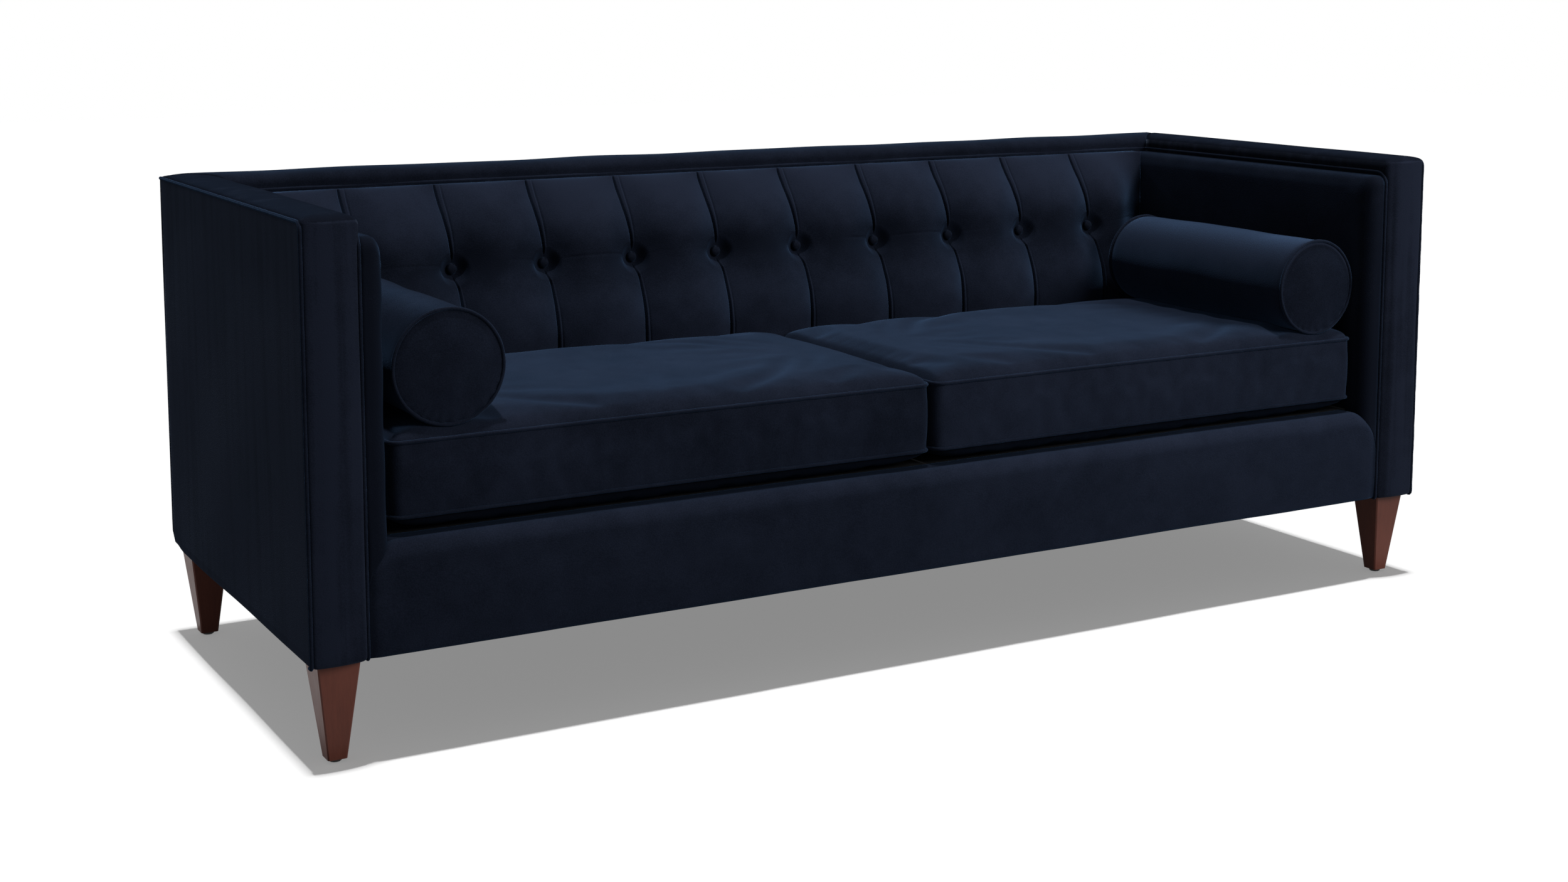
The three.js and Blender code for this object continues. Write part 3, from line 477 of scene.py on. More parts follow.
def welt(name, path, body, closed=False, radius=WELT_RADIUS, seed=1, step=6 * MM):
    """A tube along a path: rings across it, each ring turned as little as can be."""
    line = evenly(path, step, closed)
    if closed:
        ahead = np.roll(line, -1, 0) - np.roll(line, 1, 0)
    else:
        ahead = np.gradient(line, axis=0)
    ahead /= np.linalg.norm(ahead, axis=1, keepdims=True)
    side = np.empty_like(line)
    first = np.cross(ahead[0], (0.31, 0.52, 0.79))
    side[0] = first / np.linalg.norm(first)
    for k in range(1, len(line)):
        turned = side[k - 1] - ahead[k] * np.dot(side[k - 1], ahead[k])
        side[k] = turned / np.linalg.norm(turned)
    if closed:
        end = side[-1] - ahead[0] * np.dot(side[-1], ahead[0])
        twist = math.atan2(np.dot(np.cross(end, side[0]), ahead[0]), np.dot(end, side[0]))
        angle = twist * np.arange(len(line)) / len(line)
        other = np.cross(ahead, side)
        side = side * np.cos(angle)[:, None] + other * np.sin(angle)[:, None]
    other = np.cross(ahead, side)
    turn = 2 * np.pi * np.arange(WELT_SIDES) / WELT_SIDES
    swell = radius * (1 + 0.05 * unevenness(line, 0.03, seed)
                      + 0.03 * unevenness(line, 0.009, seed))
    cosine, sine = np.cos(turn)[:, None], np.sin(turn)[:, None]
    ring = side[:, None] * cosine + other[:, None] * sine
    points = line[:, None] + ring * swell[:, None, None]
    rows = len(line)
    if closed:
        points = np.concatenate([points, points[:1]])
        faces = grid_faces(rows + 1, WELT_SIDES, wrap=True)
    else:
        ends = np.repeat(line[[0, -1]][:, None], WELT_SIDES, 1)
        points = np.concatenate([ends[:1], points, ends[1:]])
        faces = grid_faces(rows + 2, WELT_SIDES, wrap=True)
    tube = mesh_object(name, points, faces, velvet_plain)
    return dress(tube, body, "velvet")


def turned_corner(before, corner, after, radius, steps=8):
    """Points that round a path's right-angled corner with an arc."""
    back = (before - corner) / np.linalg.norm(before - corner)
    on = (after - corner) / np.linalg.norm(after - corner)
    centre = corner + radius * (back + on)
    angle = quarter(steps)[:, None]
    return centre - radius * on * np.cos(angle) - radius * back * np.sin(angle)


# %% [markdown]
# ## Places taken from the frame
# The solids give every place, so nothing here is measured twice: the inner and outer faces of
# the arms, the front and back, the deck and the top.

# %% Shared places
def span(node):
    """A node's lowest and highest corner as plain arrays."""
    low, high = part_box(node)
    return np.array(low), np.array(high)


def middle_of(node):
    """The middle of a node's box."""
    low, high = span(node)
    return (low + high) / 2


SIDES = (("left", -1), ("right", 1))
arm_low, arm_high = span("arm_cover_right")
INNER_X, OUTER_X = arm_low[0], arm_high[0]
FRONT_Y, BACK_Y = arm_low[1], arm_high[1]
INNER_Y = BACK_Y - (OUTER_X - INNER_X)
BASE_Z, TOP_Z = arm_low[2], arm_high[2]
WALL = OUTER_X - INNER_X
DECK_Z = span("deck")[1][2]
BASE_CORNER = 35 * MM
BASE_DRAW = 8 * MM
BASE_REACH = 70 * MM
PLAN_CORNER = 8 * MM
CROWN_TOP = TOP_Z + 2 * MM
INNER_WELT_Z = TOP_Z - 26.5 * MM
OUTER_WELT_Z = TOP_Z - 7 * MM
WELT_INSET = 1.5 * MM
HEM_ROUND = 7 * MM
HEM = 14 * MM
print("walls", round(WALL, 3), "thick, from", round(BASE_Z, 3), "to", round(TOP_Z, 3))

# %% [markdown]
# ## Arm covers
# An arm of a tuxedo sofa is a plain wall. One strip of velvet climbs its front and runs back
# along the top; a panel closes each side, with a welt in each seam. The wall is drawn as
# level slices, each a U that starts at the back corner inside, goes round the front and ends
# at the back corner outside. Higher slices draw in to make the rolled edge, and the last
# ones close over the top to a line down its middle.

# %% The section that arms and back share
COVER_THICKNESS = 5 * MM
INNER_DROP, INNER_POWER = 21 * MM, 2.9
OUTER_DROP, OUTER_POWER = 10 * MM, 2.2
FRONT_DROP, FRONT_POWER = 14 * MM, 2.4
FRONT_CROWN = 4 * MM
INNER_RECESS = 6 * MM
WELT_SINK = (1.3 * MM, 3.4 * MM)
MITRE_SINK = (1.6 * MM, 4 * MM)
EDGE_SINK = (1.2 * MM, 4 * MM)
WALL_WELT_STEP = 3.5 * MM
MIDDLE_Z = 0.45


def spaced(*marks):
    """Places from one mark to the next, each pair followed by its own spacing."""
    places = [np.array([marks[0]])]
    for k in range(0, len(marks) - 2, 2):
        a, step, b = marks[k:k + 3]
        count = max(1, int(math.ceil(abs(b - a) / step)))
        places.append(np.linspace(a, b, count + 1)[1:])
    return np.concatenate(places)


def over_the_top(angle, drop, power):
    """A superellipse quarter: how far in from the side, and how far below the top."""
    inward = WALL / 2 * (1 - np.cos(angle) ** (2 / power))
    return inward, drop * (1 - np.sin(angle) ** (2 / power))


def base_recede(z):
    """How far the lower back corners draw in at a height: a quarter ellipse."""
    rise = np.clip(1 - (z - BASE_Z) / BASE_CORNER, 0, 1)
    return BASE_DRAW * (1 - np.sqrt(1 - rise ** 2))


def with_base_corner(x, y, z):
    """The cover's lower back corners, drawn in along both walls."""
    recede = base_recede(z)
    near = (smooth(np.abs(x), OUTER_X - BASE_REACH, OUTER_X)
            * smooth(y, BACK_Y - BASE_REACH, BACK_Y))
    outside = np.maximum(smooth(np.abs(x), OUTER_X - WALL / 2, OUTER_X),
                         smooth(y, BACK_Y - WALL / 2, BACK_Y))
    move = recede * near * outside
    return x - np.sign(x) * move, y - move


def hem_curve():
    """The hem's section, from under the frame up into the wall: how far in and how far up."""
    angle = quarter(5)
    return (np.concatenate([[HEM], HEM_ROUND * (1 - np.sin(angle))]),
            np.concatenate([[0], HEM_ROUND * (1 - np.cos(angle))]))


def corner_seams(side):
    """Where an arm meets the back: the mitre on top and the upright edge behind."""
    inside, top = [side * INNER_X, INNER_Y, TOP_Z], [side * OUTER_X, BACK_Y, TOP_Z]
    foot = [side * OUTER_X, BACK_Y, BASE_Z]
    return [(np.linspace(inside, top, 60), *MITRE_SINK), (np.linspace(foot, top, 200), *EDGE_SINK)]


# %% Arm surface
def u_columns():
    """Shares along the U's inner side, front face and outer side, finer near the corners."""
    side = spaced(0, 0.02, 0.8, 0.006, 0.97, 0.0025, 1)
    face = spaced(0, 0.025, 0.12, 0.06, 0.88, 0.025, 1)
    return side, quarter(8), face


def joined(*parts):
    """Pieces of one outline end to end; each starts where the last one ends."""
    return np.concatenate([parts[0]] + [part[..., 1:] for part in parts[1:]], -1)


def u_blend():
    """For each column, how much it belongs to the inner side, the front and the outer side."""
    side, turn, face = u_columns()
    bend = np.linspace(0, 1, len(turn))
    to_outer = 0.75 * smooth(face, 0.55, 1)
    front = joined(0 * side, bend, 1 - to_outer, 0.25 * (1 - bend), 0 * side)
    inner = joined(0 * side + 1, 1 - bend, 0 * face, 0 * bend, 0 * side)
    return inner[None], front[None], (1 - inner - front)[None]


def u_path(inner, outer, front, end_inner, end_outer, bend):
    """Points of a U with two round bends; each size is a column, one value for each row."""
    side, turn, face = (part[None] for part in u_columns())
    flat = np.ones_like(side)
    x = [inner * flat, inner + bend * (1 - np.cos(turn)),
         inner + bend + (outer - inner - 2 * bend) * face,
         outer - bend * (1 - np.sin(turn)), outer * flat]
    y = [end_inner + (front + bend - end_inner) * side, front + bend * (1 - np.sin(turn)),
         front * np.ones_like(face), front + bend * (1 - np.cos(turn)),
         front + bend + (end_outer - front - bend) * (1 - side[:, ::-1])]
    return joined(*x), joined(*y)


def arm_cover(side):
    """One arm's velvet: level slices up its sides, then slices that close over the top."""
    in_share, front_share, out_share = u_blend()
    hem_in, hem_up = hem_curve()
    rise = spaced(0, 0.018, 0.9, 0.006, 1)[1:]
    over = quarter(34)[1:]
    drop = in_share * INNER_DROP + front_share * FRONT_DROP + out_share * OUTER_DROP
    power = in_share * INNER_POWER + front_share * FRONT_POWER + out_share * OUTER_POWER
    low = BASE_Z + HEM_ROUND
    below = np.concatenate([hem_in, 0 * rise])[:, None]
    rising = low + (CROWN_TOP - drop - low) * rise[:, None]
    closing = CROWN_TOP - drop * (1 - np.sin(over[:, None]) ** (2 / power))
    z = np.concatenate([BASE_Z + hem_up[:, None] + 0 * drop, rising, closing])
    inner, outer, front = (
        np.concatenate([below, over_the_top(over, 0, each)[0][:, None]])
        for each in (INNER_POWER, OUTER_POWER, FRONT_POWER))
    bend = PLAN_CORNER * (1 - np.concatenate([0 * below, (1 - np.cos(over))[:, None]]))
    x, y = u_path(INNER_X + inner, OUTER_X - outer, FRONT_Y + front, INNER_Y + inner,
                  BACK_Y - outer, bend)
    x, y = with_base_corner(x, y, z)
    across = (x - INNER_X) / WALL
    near_front = bell(y - FRONT_Y, 0.03)
    y = y - near_front * FRONT_CROWN * np.clip(1 - (2 * across - 1) ** 2, 0, 1)
    y = y + near_front * INNER_RECESS * (1 - across) ** 2
    return np.stack([side * x, y, z], -1)


def sink(points, inward, *seams):
    """Points pulled inward beside seams: each seam is a path, a depth and a width."""
    moved = points
    for path, depth, width in seams:
        pull = depth * bell(distance_to(points, path), width)
        moved = moved + inward * pull[..., None]
    return moved


# %% [markdown]
# The welt inside runs up the arm's front corner, turns back a little below the top and goes
# on round the back. The one outside does the same on the outer edge, nearer the top.

# %% Arm welts
def arm_welt_path(side, x, z, bend, back):
    """Up the front corner, round a bend and back along the arm at one height."""
    y = FRONT_Y + 2.0 * MM + (INNER_RECESS if x < (INNER_X + OUTER_X) / 2 else 0)
    foot = np.array([[x, y + 10 * MM, BASE_Z + 1.5 * MM], [x, y + 5 * MM, BASE_Z + 0.5 * MM],
                     [x, y + 1 * MM, BASE_Z + 2 * MM], [x, y, BASE_Z + 6 * MM]])
    corner = turned_corner(np.array([x, y, BASE_Z]), np.array([x, y, z]),
                           np.array([x, back, z]), bend)
    path = np.vstack([foot, corner, [[x, back, z]]])
    return evenly(path * np.array([side, 1, 1]), 3 * MM)


def arm_painted_shading(places, side):
    """Painted shading on an arm: darker along the top, painted light on the front, and on the right
    arm painted shade on the front's inner strip and more painted light higher up.
    """
    top = smooth(places[:, 2], OUTER_WELT_Z - 2 * MM, OUTER_WELT_Z + 1 * MM)
    outer = smooth(places[:, 0], INNER_X + 0.02, INNER_X + 0.04)
    upper = smooth(places[:, 2], 0.40, 0.68)
    front = (0.6 + 0.7 * upper) * outer - 0.4 if side > 0 else 0.35
    return front * (1 - top) - 0.5 * top


for side_name, side in SIDES:
    inner_welt = arm_welt_path(side, INNER_X + WELT_INSET, INNER_WELT_Z, 22 * MM, INNER_Y)
    outer_welt = arm_welt_path(side, OUTER_X - WELT_INSET, OUTER_WELT_Z, 10 * MM, BACK_Y)
    grid = arm_cover(side)
    inward = -grid_normals(grid) * side
    inward[-1] = (0, 0, -1)
    grid = sink(grid, inward, (inner_welt, *WELT_SINK), (outer_welt, *WELT_SINK),
                *corner_seams(side))
    grid = grid + inward * (0.5 * MM * unevenness(grid, 0.35, 11 + side))[..., None]
    cover = mesh_object(f"arm_velvet_{side_name}", grid, grid_faces(*grid.shape[:2]), velvet_panel,
                        centre=(side * (INNER_X + OUTER_X) / 2, 0, MIDDLE_Z))
    thicken(cover, COVER_THICKNESS)
    # The top band takes the copy with little sheen, painted darker; the arm carries its painted
    # light and shade.
    second_velvet(cover, velvet_painted_darkest, lambda middle: middle.z > OUTER_WELT_Z - 1 * MM)
    set_painted_shading(cover, lambda places: arm_painted_shading(places, side))
    dress(cover, "root", "velvet", f"arm_cover_{side_name}", fill=0.9)
    welt(f"arm_inner_welt_{side_name}", inner_welt, "root", seed=21, step=WALL_WELT_STEP)
    welt(f"arm_outer_welt_{side_name}", outer_welt, "root", seed=22, step=WALL_WELT_STEP)
print("arm covers: grid of", grid.shape[:2])

# %% [markdown]
# ## Back cover
# The back is the same wall turned across. Its section is one profile: up the inner face, over
# the rolled top and down the outer face to a hem under the frame. The profile is carried from
# one mitred corner to the other.

# %% Back surface
def back_profile():
    """The back's section as y and z, from behind the pad to the hem below."""
    over = quarter(34)
    inner_in, inner_down = over_the_top(over, INNER_DROP, INNER_POWER)
    outer_in, outer_down = over_the_top(over, OUTER_DROP, OUTER_POWER)
    hidden_foot = DECK_Z - 0.03
    face = spaced(hidden_foot, 0.025, CROWN_TOP - 0.06, 0.005, CROWN_TOP - INNER_DROP)[:-1]
    behind = spaced(CROWN_TOP - OUTER_DROP, 0.005, CROWN_TOP - 0.05, 0.02, BASE_Z + HEM_ROUND)[1:]
    hem_in, hem_up = hem_curve()
    return np.concatenate([
        np.stack([INNER_Y + 0 * face, face], 1),
        np.stack([INNER_Y + inner_in, CROWN_TOP - inner_down], 1),
        np.stack([BACK_Y - outer_in, CROWN_TOP - outer_down], 1)[::-1][1:],
        np.stack([BACK_Y + 0 * behind, behind], 1),
        np.stack([BACK_Y - hem_in, BASE_Z + hem_up], 1)[::-1][1:]])


def back_cover():
    """The back's velvet: the profile carried between the two mitres."""
    profile = back_profile()
    y, z = profile[:, :1], profile[:, 1:]
    share = spaced(0, 0.003, 0.03, 0.013, 0.97, 0.003, 1)[None] * 2 - 1
    x = share * (INNER_X + y - INNER_Y)
    y, z = y + 0 * x, z + 0 * x
    x, y = with_base_corner(x, y, z)
    return np.stack([x, y, z], -1)


def across_back(x, y, z):
    """A level seam from one side to the other."""
    return np.linspace([-x, y, z], [x, y, z], 500)


grid = back_cover()
inward = -grid_normals(grid)
if inward[5, 90, 1] < 0:
    inward = -inward
inner_line = across_back(INNER_X, INNER_Y + WELT_INSET, INNER_WELT_Z)
outer_line = across_back(OUTER_X, BACK_Y - WELT_INSET, OUTER_WELT_Z)
grid = sink(grid, inward, (inner_line, *WELT_SINK), (outer_line, *WELT_SINK),
            *corner_seams(-1), *corner_seams(1))
grid = grid + inward * (0.8 * MM * unevenness(grid, 0.25, 17))[..., None]
back = mesh_object("back_velvet", grid, grid_faces(*grid.shape[:2]), velvet_panel,
                   centre=(0, (INNER_Y + BACK_Y) / 2, MIDDLE_Z))
thicken(back, COVER_THICKNESS)
# The top band between the welts takes a copy with less sheen and is painted a little darker.
second_velvet(back, velvet_painted_darker,
              lambda middle: middle.z > INNER_WELT_Z and middle.y < BACK_Y - 2 * MM)
set_painted_shading(back, lambda p: -0.2 * smooth(p[:, 2], INNER_WELT_Z, INNER_WELT_Z + 3 * MM)
        * (p[:, 1] < BACK_Y - 2 * MM))
dress(back, "root", "velvet", "back_cover", fill=0.9)
welt("back_inner_welt", inner_line, "root", seed=23, step=WALL_WELT_STEP)
welt("back_outer_welt", outer_line, "root", seed=24, step=WALL_WELT_STEP)
print("back cover: grid of", grid.shape[:2])

# %% [markdown]
# ## Arm pads
# On the inside each arm carries a pad: foam under velvet, rounded on the edge that faces the
# seat and at its upper front corner. It is drawn as closed outlines that shrink as they rise
# from the arm, then close over the face with a slight crown. Its lower front end reaches down
# behind the rounded end of the front rail, so that no board shows between them.

# %% Pad outline
PAD_CORNER = 16 * MM
PAD_ROUND = 26 * MM
PAD_LIFT = 6 * MM
PAD_TUCK = 4 * MM
PAD_FACE_DIP = 3 * MM


def rounded_outline(low, high, radii, spacing):
    """A closed outline of a rectangle whose four corners have their own radii."""
    (u0, v0), (u1, v1) = low, high
    corners = [(u0, v0, 180), (u1, v0, 270), (u1, v1, 0), (u0, v1, 90)]
    line = []
    for (u, v, start), radius in zip(corners, radii):
        centre_u = u + radius if u == u0 else u - radius
        centre_v = v + radius if v == v0 else v - radius
        angle = np.radians(start + np.linspace(0, 90, 9))
        line.append(np.stack([centre_u + radius * np.cos(angle),
                              centre_v + radius * np.sin(angle), 0 * angle], 1))
    return evenly(np.concatenate(line), spacing, closed=True)[:, :2]


def arm_pad(side_name, side):
    """One arm pad: outlines from the arm to the face, then rings that close over it."""
    low, high = span(f"arm_pad_{side_name}")
    high = high + np.array([0, 0, PAD_LIFT])
    base = low[0] if side < 0 else high[0]
    thick = high[0] - low[0]
    outline = rounded_outline((low[1], low[2]), (high[1], high[2]),
                              (PAD_TUCK, PAD_TUCK, PAD_TUCK, PAD_CORNER), 8 * MM)
    roll = quarter(9)
    close = np.linspace(0, 1, 22)[1:]
    middle = outline.mean(0)
    rise = [thick - PAD_ROUND * (1 - np.sin(roll)), np.full(len(close), thick)]
    depth = np.concatenate([[0, (thick - PAD_ROUND) * 0.5], *rise])[:, None]
    draw = np.concatenate([[0, 0], PAD_ROUND * (1 - np.cos(roll)), np.full(len(close), PAD_ROUND)])
    shrink = np.concatenate([np.zeros(2 + len(roll)), close])[:, None]
    inset = 1 - 2 * draw[:, None, None] / (high[1:] - low[1:])
    flat = middle + (outline - middle)[None] * inset * (1 - shrink[..., None])
    crown = PAD_FACE_DIP * (1 - (1 - shrink) ** 3)
    away = depth - PAD_FACE_DIP * smooth(depth, thick - PAD_ROUND, thick) + crown
    x = base - side * (away + 0 * flat[..., 0])
    return np.stack([x, flat[..., 0], flat[..., 1]], -1)


arm_pad_low, arm_pad_high = span("arm_pad_right")
rail_low, rail_high = span("rail_cover")
RAIL_CORNER = 55 * MM


def rail_drop(x):
    """How far the rail's top has curved down at a place along it: a quarter circle at each end."""
    past = np.clip(np.abs(x) - (rail_high[0] - RAIL_CORNER), 0, RAIL_CORNER)
    return RAIL_CORNER - np.sqrt(RAIL_CORNER ** 2 - past ** 2)


def reach_down(grid):
    """The pad's points, with the foot of its front end drawn down along the rail's curve."""
    low_part = 1 - smooth(grid[..., 2], arm_pad_low[2], arm_pad_low[2] + 70 * MM)
    front_part = 1 - smooth(grid[..., 1], rail_high[1] + 4 * MM, rail_high[1] + 45 * MM)
    moved = grid.copy()
    moved[..., 2] -= rail_drop(grid[..., 0]) * low_part * front_part
    return moved


def pad_painted_shade(places):
    """Painted shade on an arm pad: darker along its top and on its front end."""
    top = smooth(places[:, 2], arm_pad_high[2] - 16 * MM, arm_pad_high[2] - 4 * MM)
    end = 1 - smooth(places[:, 1], arm_pad_low[1] + 15 * MM, arm_pad_low[1] + 35 * MM)
    return -np.maximum(0.4 * top, 0.5 * end)


def corner_pucker(grid):
    """Short rays round the pad's upper front corner, where its cloth is gathered."""
    y = grid[..., 1] - (arm_pad_low[1] + 12 * MM)
    z = grid[..., 2] - (arm_pad_high[2] - 12 * MM)
    return 0.9 * MM * np.sin(np.arctan2(z, y) * 17) * bell(np.hypot(y, z) - 22 * MM, 16 * MM)


for side_name, side in SIDES:
    grid = reach_down(arm_pad(side_name, side))
    rows, columns = grid.shape[:2]
    grid[..., 0] -= side * (corner_pucker(grid) + 0.8 * MM * unevenness(grid, 0.16, 31 + side))
    # The pads take the copy painted darker, with less sheen.
    pad = mesh_object(f"arm_pad_velvet_{side_name}", grid, capped_faces(rows, columns), velvet_painted_darker)
    set_painted_shading(pad, pad_painted_shade)
    dress(pad, "root", "velvet", f"arm_pad_{side_name}", fill=0.8)
print("arm pads: rings of", columns)

# %% [markdown]
# ## The tufted back pad
# Ten upright pleats divide the back into eleven plump panels, and a button pulls each pleat
# in. Down a pleat the foam bows forward in two lobes, above and below the button. Between
# pleats the cloth swells; level with the buttons a faint crease joins them. A pleat itself is
# a fold: a sharp valley with a narrow lip of doubled cloth beside it.

# %% Back pad measures
pad_low, pad_high = span("back_pad")
PAD_BACK = pad_high[1]
PAD_TOP = pad_high[2] - 5 * MM
BUTTONS = sorted(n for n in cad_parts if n.startswith("button_"))
button_places = np.array(sorted(middle_of(name).tolist() for name in BUTTONS))
BUTTON_Z = button_places[0, 2]
pleat_x = button_places[:, 0]
CORNER_THICK = 35 * MM
PLEAT_CURVE = np.array([
    (0, 5), (27, 21), (51, 39), (76, 53), (101, 62), (126, 66), (149, 71), (170, 80),
    (194, 92), (219, 103), (244, 109), (268, 112), (300, 112), (500, 110)]) * MM
BUTTON_SEAT = 62 * MM
PANEL_BULGE = 30 * MM
PLEAT_DEPTH = 5 * MM
LIP_RISE = 1.8 * MM
SECOND_LINE = 1.6 * MM
SHIFT_ABOVE, SHIFT_BELOW = 9 * MM, 6 * MM
PAD_EDGE = 24 * MM


def pleat_thickness(z):
    """Thickness along a pleat, read from the curve of depth below the top and softened."""
    depth = np.linspace(-0.05, 0.55, 601)
    even = np.interp(depth, PLEAT_CURVE[:, 0], PLEAT_CURVE[:, 1])
    kernel = bell(np.linspace(-0.03, 0.03, 61), 11 * MM)
    even = np.convolve(np.pad(even, 30, mode="edge"), kernel / kernel.sum(), mode="valid")
    return np.interp(PAD_TOP - z, depth, even)


def line_shift(z):
    """How far a pleat's fold lies beside its button: to the left above, to the right below."""
    above = -SHIFT_ABOVE * smooth(z, BUTTON_Z + 8 * MM, PAD_TOP)
    below = SHIFT_BELOW * (1 - smooth(z, BUTTON_Z - 40 * MM, BUTTON_Z - 5 * MM))
    return above + below


def pad_columns():
    """Column places: packed close beside each pleat, wider apart on the panels."""
    edges = np.concatenate([[pad_low[0]], pleat_x, [pad_high[0]]])
    close = spaced(-26 * MM, 2.5 * MM, -13 * MM, 0.9 * MM, 22 * MM, 2.5 * MM, 32 * MM)
    first, last = edges[0] + PAD_EDGE, edges[-1] - PAD_EDGE
    places = [np.linspace(edges[0], first, 9), np.linspace(last, edges[-1], 9)]
    places += [x + close for x in pleat_x]
    starts = np.concatenate([[first], pleat_x + close[-1]])
    ends = np.concatenate([pleat_x + close[0], [last]])
    places += [np.linspace(a, b, 16) for a, b in zip(starts, ends)]
    return np.unique(np.round(np.concatenate(places), 5))


def pad_thickness(x, z):
    """The pad's thickness at a place: the pleat's own curve, the panel's swell, the fold."""
    edges = np.concatenate([[pad_low[0] - 2 * MM], pleat_x, [pad_high[0] + 2 * MM]])
    moved = x - line_shift(z) * smooth(pad_high[0] - np.abs(x), 0, 60 * MM)
    panel = np.clip(np.searchsorted(edges, moved, side="right") - 1, 0, len(edges) - 2)
    left, right = edges[panel], edges[panel + 1]
    share = 2 * np.clip((moved - left) / (right - left), 0, 1) - 1
    across = 1 - np.abs(share) ** np.where(share < 0, 2.0, 2.3)
    fall = np.clip((PAD_TOP - z) / (40 * MM), 0, 1)
    swell = PANEL_BULGE * np.sqrt(1 - (1 - fall) ** 2)
    swell = swell * (1 - 0.2 * smooth(BUTTON_Z - z, 50 * MM, 150 * MM))
    nearest = np.abs(moved[..., None] - pleat_x).argmin(-1)
    radial = np.hypot(x - pleat_x[nearest], z - BUTTON_Z)
    swell = swell * (1 - 0.5 * bell(radial, 45 * MM))
    u = moved - pleat_x[nearest]
    high = np.clip((z - BUTTON_Z) / (PAD_TOP - BUTTON_Z), 0, 1)
    low = np.clip((BUTTON_Z - z) / (BUTTON_Z - DECK_Z), 0, 1)
    lip = np.where(z > BUTTON_Z, 10 * MM * high ** 0.5, 8 * MM * low ** 0.35)
    lip = np.maximum(lip, 2.5 * MM)
    strength = smooth(PAD_TOP - z, -14 * MM, 14 * MM)
    flap = smooth(u, 0.6 * MM, 2.6 * MM) * (1 - smooth(u, lip - 1.5 * MM, lip + 1 * MM))
    fold = LIP_RISE * flap - PLEAT_DEPTH * bell(u, 1.4 * MM)
    fold = fold - SECOND_LINE * bell(u - lip - 0.8 * MM, 1.5 * MM) * smooth(lip, 3 * MM, 7 * MM)
    near = smooth(radial, 8 * MM, 18 * MM)
    crease = 0.6 * MM * bell(z - BUTTON_Z - 13 * MM * across, 2.2 * MM) * smooth(across, 0.3, 0.95)
    crease = crease * smooth(unevenness(np.stack([x, z, 0 * x], -1), 0.25, 44), -0.8, 0.8)
    thick = pleat_thickness(z) + across * swell - crease + fold * strength * near
    well = smooth(radial, 8 * MM, 30 * MM)
    thick = thick * well + np.minimum(thick, BUTTON_SEAT - 0.5 * MM) * (1 - well)
    corner = smooth(pad_high[0] - np.abs(x), -12 * MM, 120 * MM)
    return CORNER_THICK + (thick - CORNER_THICK) * corner


def back_pad():
    """The pad's face on a fine grid of columns and rows."""
    x = pad_columns()
    z = spaced(pad_low[2], 0.012, BUTTON_Z - 0.16, 0.005, BUTTON_Z - 0.03, 0.0016, BUTTON_Z + 0.03,
               0.004, PAD_TOP - 0.02, 0.0015, PAD_TOP)
    columns, rows = np.meshgrid(x, z)
    thick = pad_thickness(columns, rows)
    place = np.stack([columns, PAD_BACK - thick, rows], -1)
    wave = 1.1 * MM * unevenness(place, 0.12, 41) + 0.3 * MM * unevenness(place, 0.045, 42)
    place[..., 1] += wave
    return place


grid = back_pad()
points, faces = closed_behind(grid, 1, PAD_BACK)
pad = mesh_object("back_pad_velvet", points, faces, velvet_plain)
# Painted light on the pad's upper part and a little low down, painted shade along the row of
# buttons.
set_painted_shading(pad, lambda p: 0.5 * smooth(p[:, 2], BUTTON_Z, PAD_TOP)
        - 0.5 * bell(p[:, 2] - BUTTON_Z, 0.06) + 0.2 * (1 - smooth(p[:, 2], 0.5, 0.6)))
dress(pad, "root", "velvet", "back_pad", fill=0.75)
print("back pad: grid of", grid.shape[:2])

# %% [markdown]
# ## Buttons
# A covered button is a tin dome with a scrap of velvet stretched over it. It is a surface of
# revolution: a rim, a shoulder and a low dome, facing the seat.

# %% Covered buttons
BUTTON_SIZE = (10 * MM, 7.5 * MM)
BUTTON_TILT = math.radians(12)


def button_surface(centre, radius, dome):
    """Rings about the Y axis: a short rim, then a quarter ellipse; tilted to face upwards."""
    angle = whole_turn(40)[None]
    bow = quarter(12)[1:]
    lift = np.concatenate([[-0.35, 0.1], 0.1 + 0.9 * np.sin(bow)])[:, None]
    wide = np.concatenate([[0.8, 1.0], np.cos(bow) ** 0.8])[:, None]
    x = radius * wide * np.cos(angle)
    z = radius * wide * np.sin(angle)
    y = -dome * lift + 0 * angle
    turn, lean = math.cos(BUTTON_TILT), math.sin(BUTTON_TILT)
    return np.stack([centre[0] + x, centre[1] + y * turn + z * lean,
                     centre[2] + z * turn - y * lean], -1)


for name in BUTTONS:
    seat = np.array([middle_of(name)[0], PAD_BACK - BUTTON_SEAT, BUTTON_Z])
    grid = button_surface(seat, *BUTTON_SIZE)
    # The buttons take the copy with less sheen and painted shade that makes them darker.
    button = mesh_object(f"covered_{name}", grid, capped_faces(*grid.shape[:2]), velvet_painted_darker)
    set_painted_shading(button, lambda places: np.full(len(places), -0.5))
    dress(button, "root", "velvet", name)
print("buttons:", len(BUTTONS))

# %% [markdown]
# ## The front rail
# The rail under the cushions is padded on its face and rolled over on top. The velvet is one
# piece, pulled from under the frame up over the roll. Its upper corners are rounded where it
# meets the arms.

# %% Rail surface
RAIL_ROLL = 25 * MM
RAIL_COLUMNS = 170


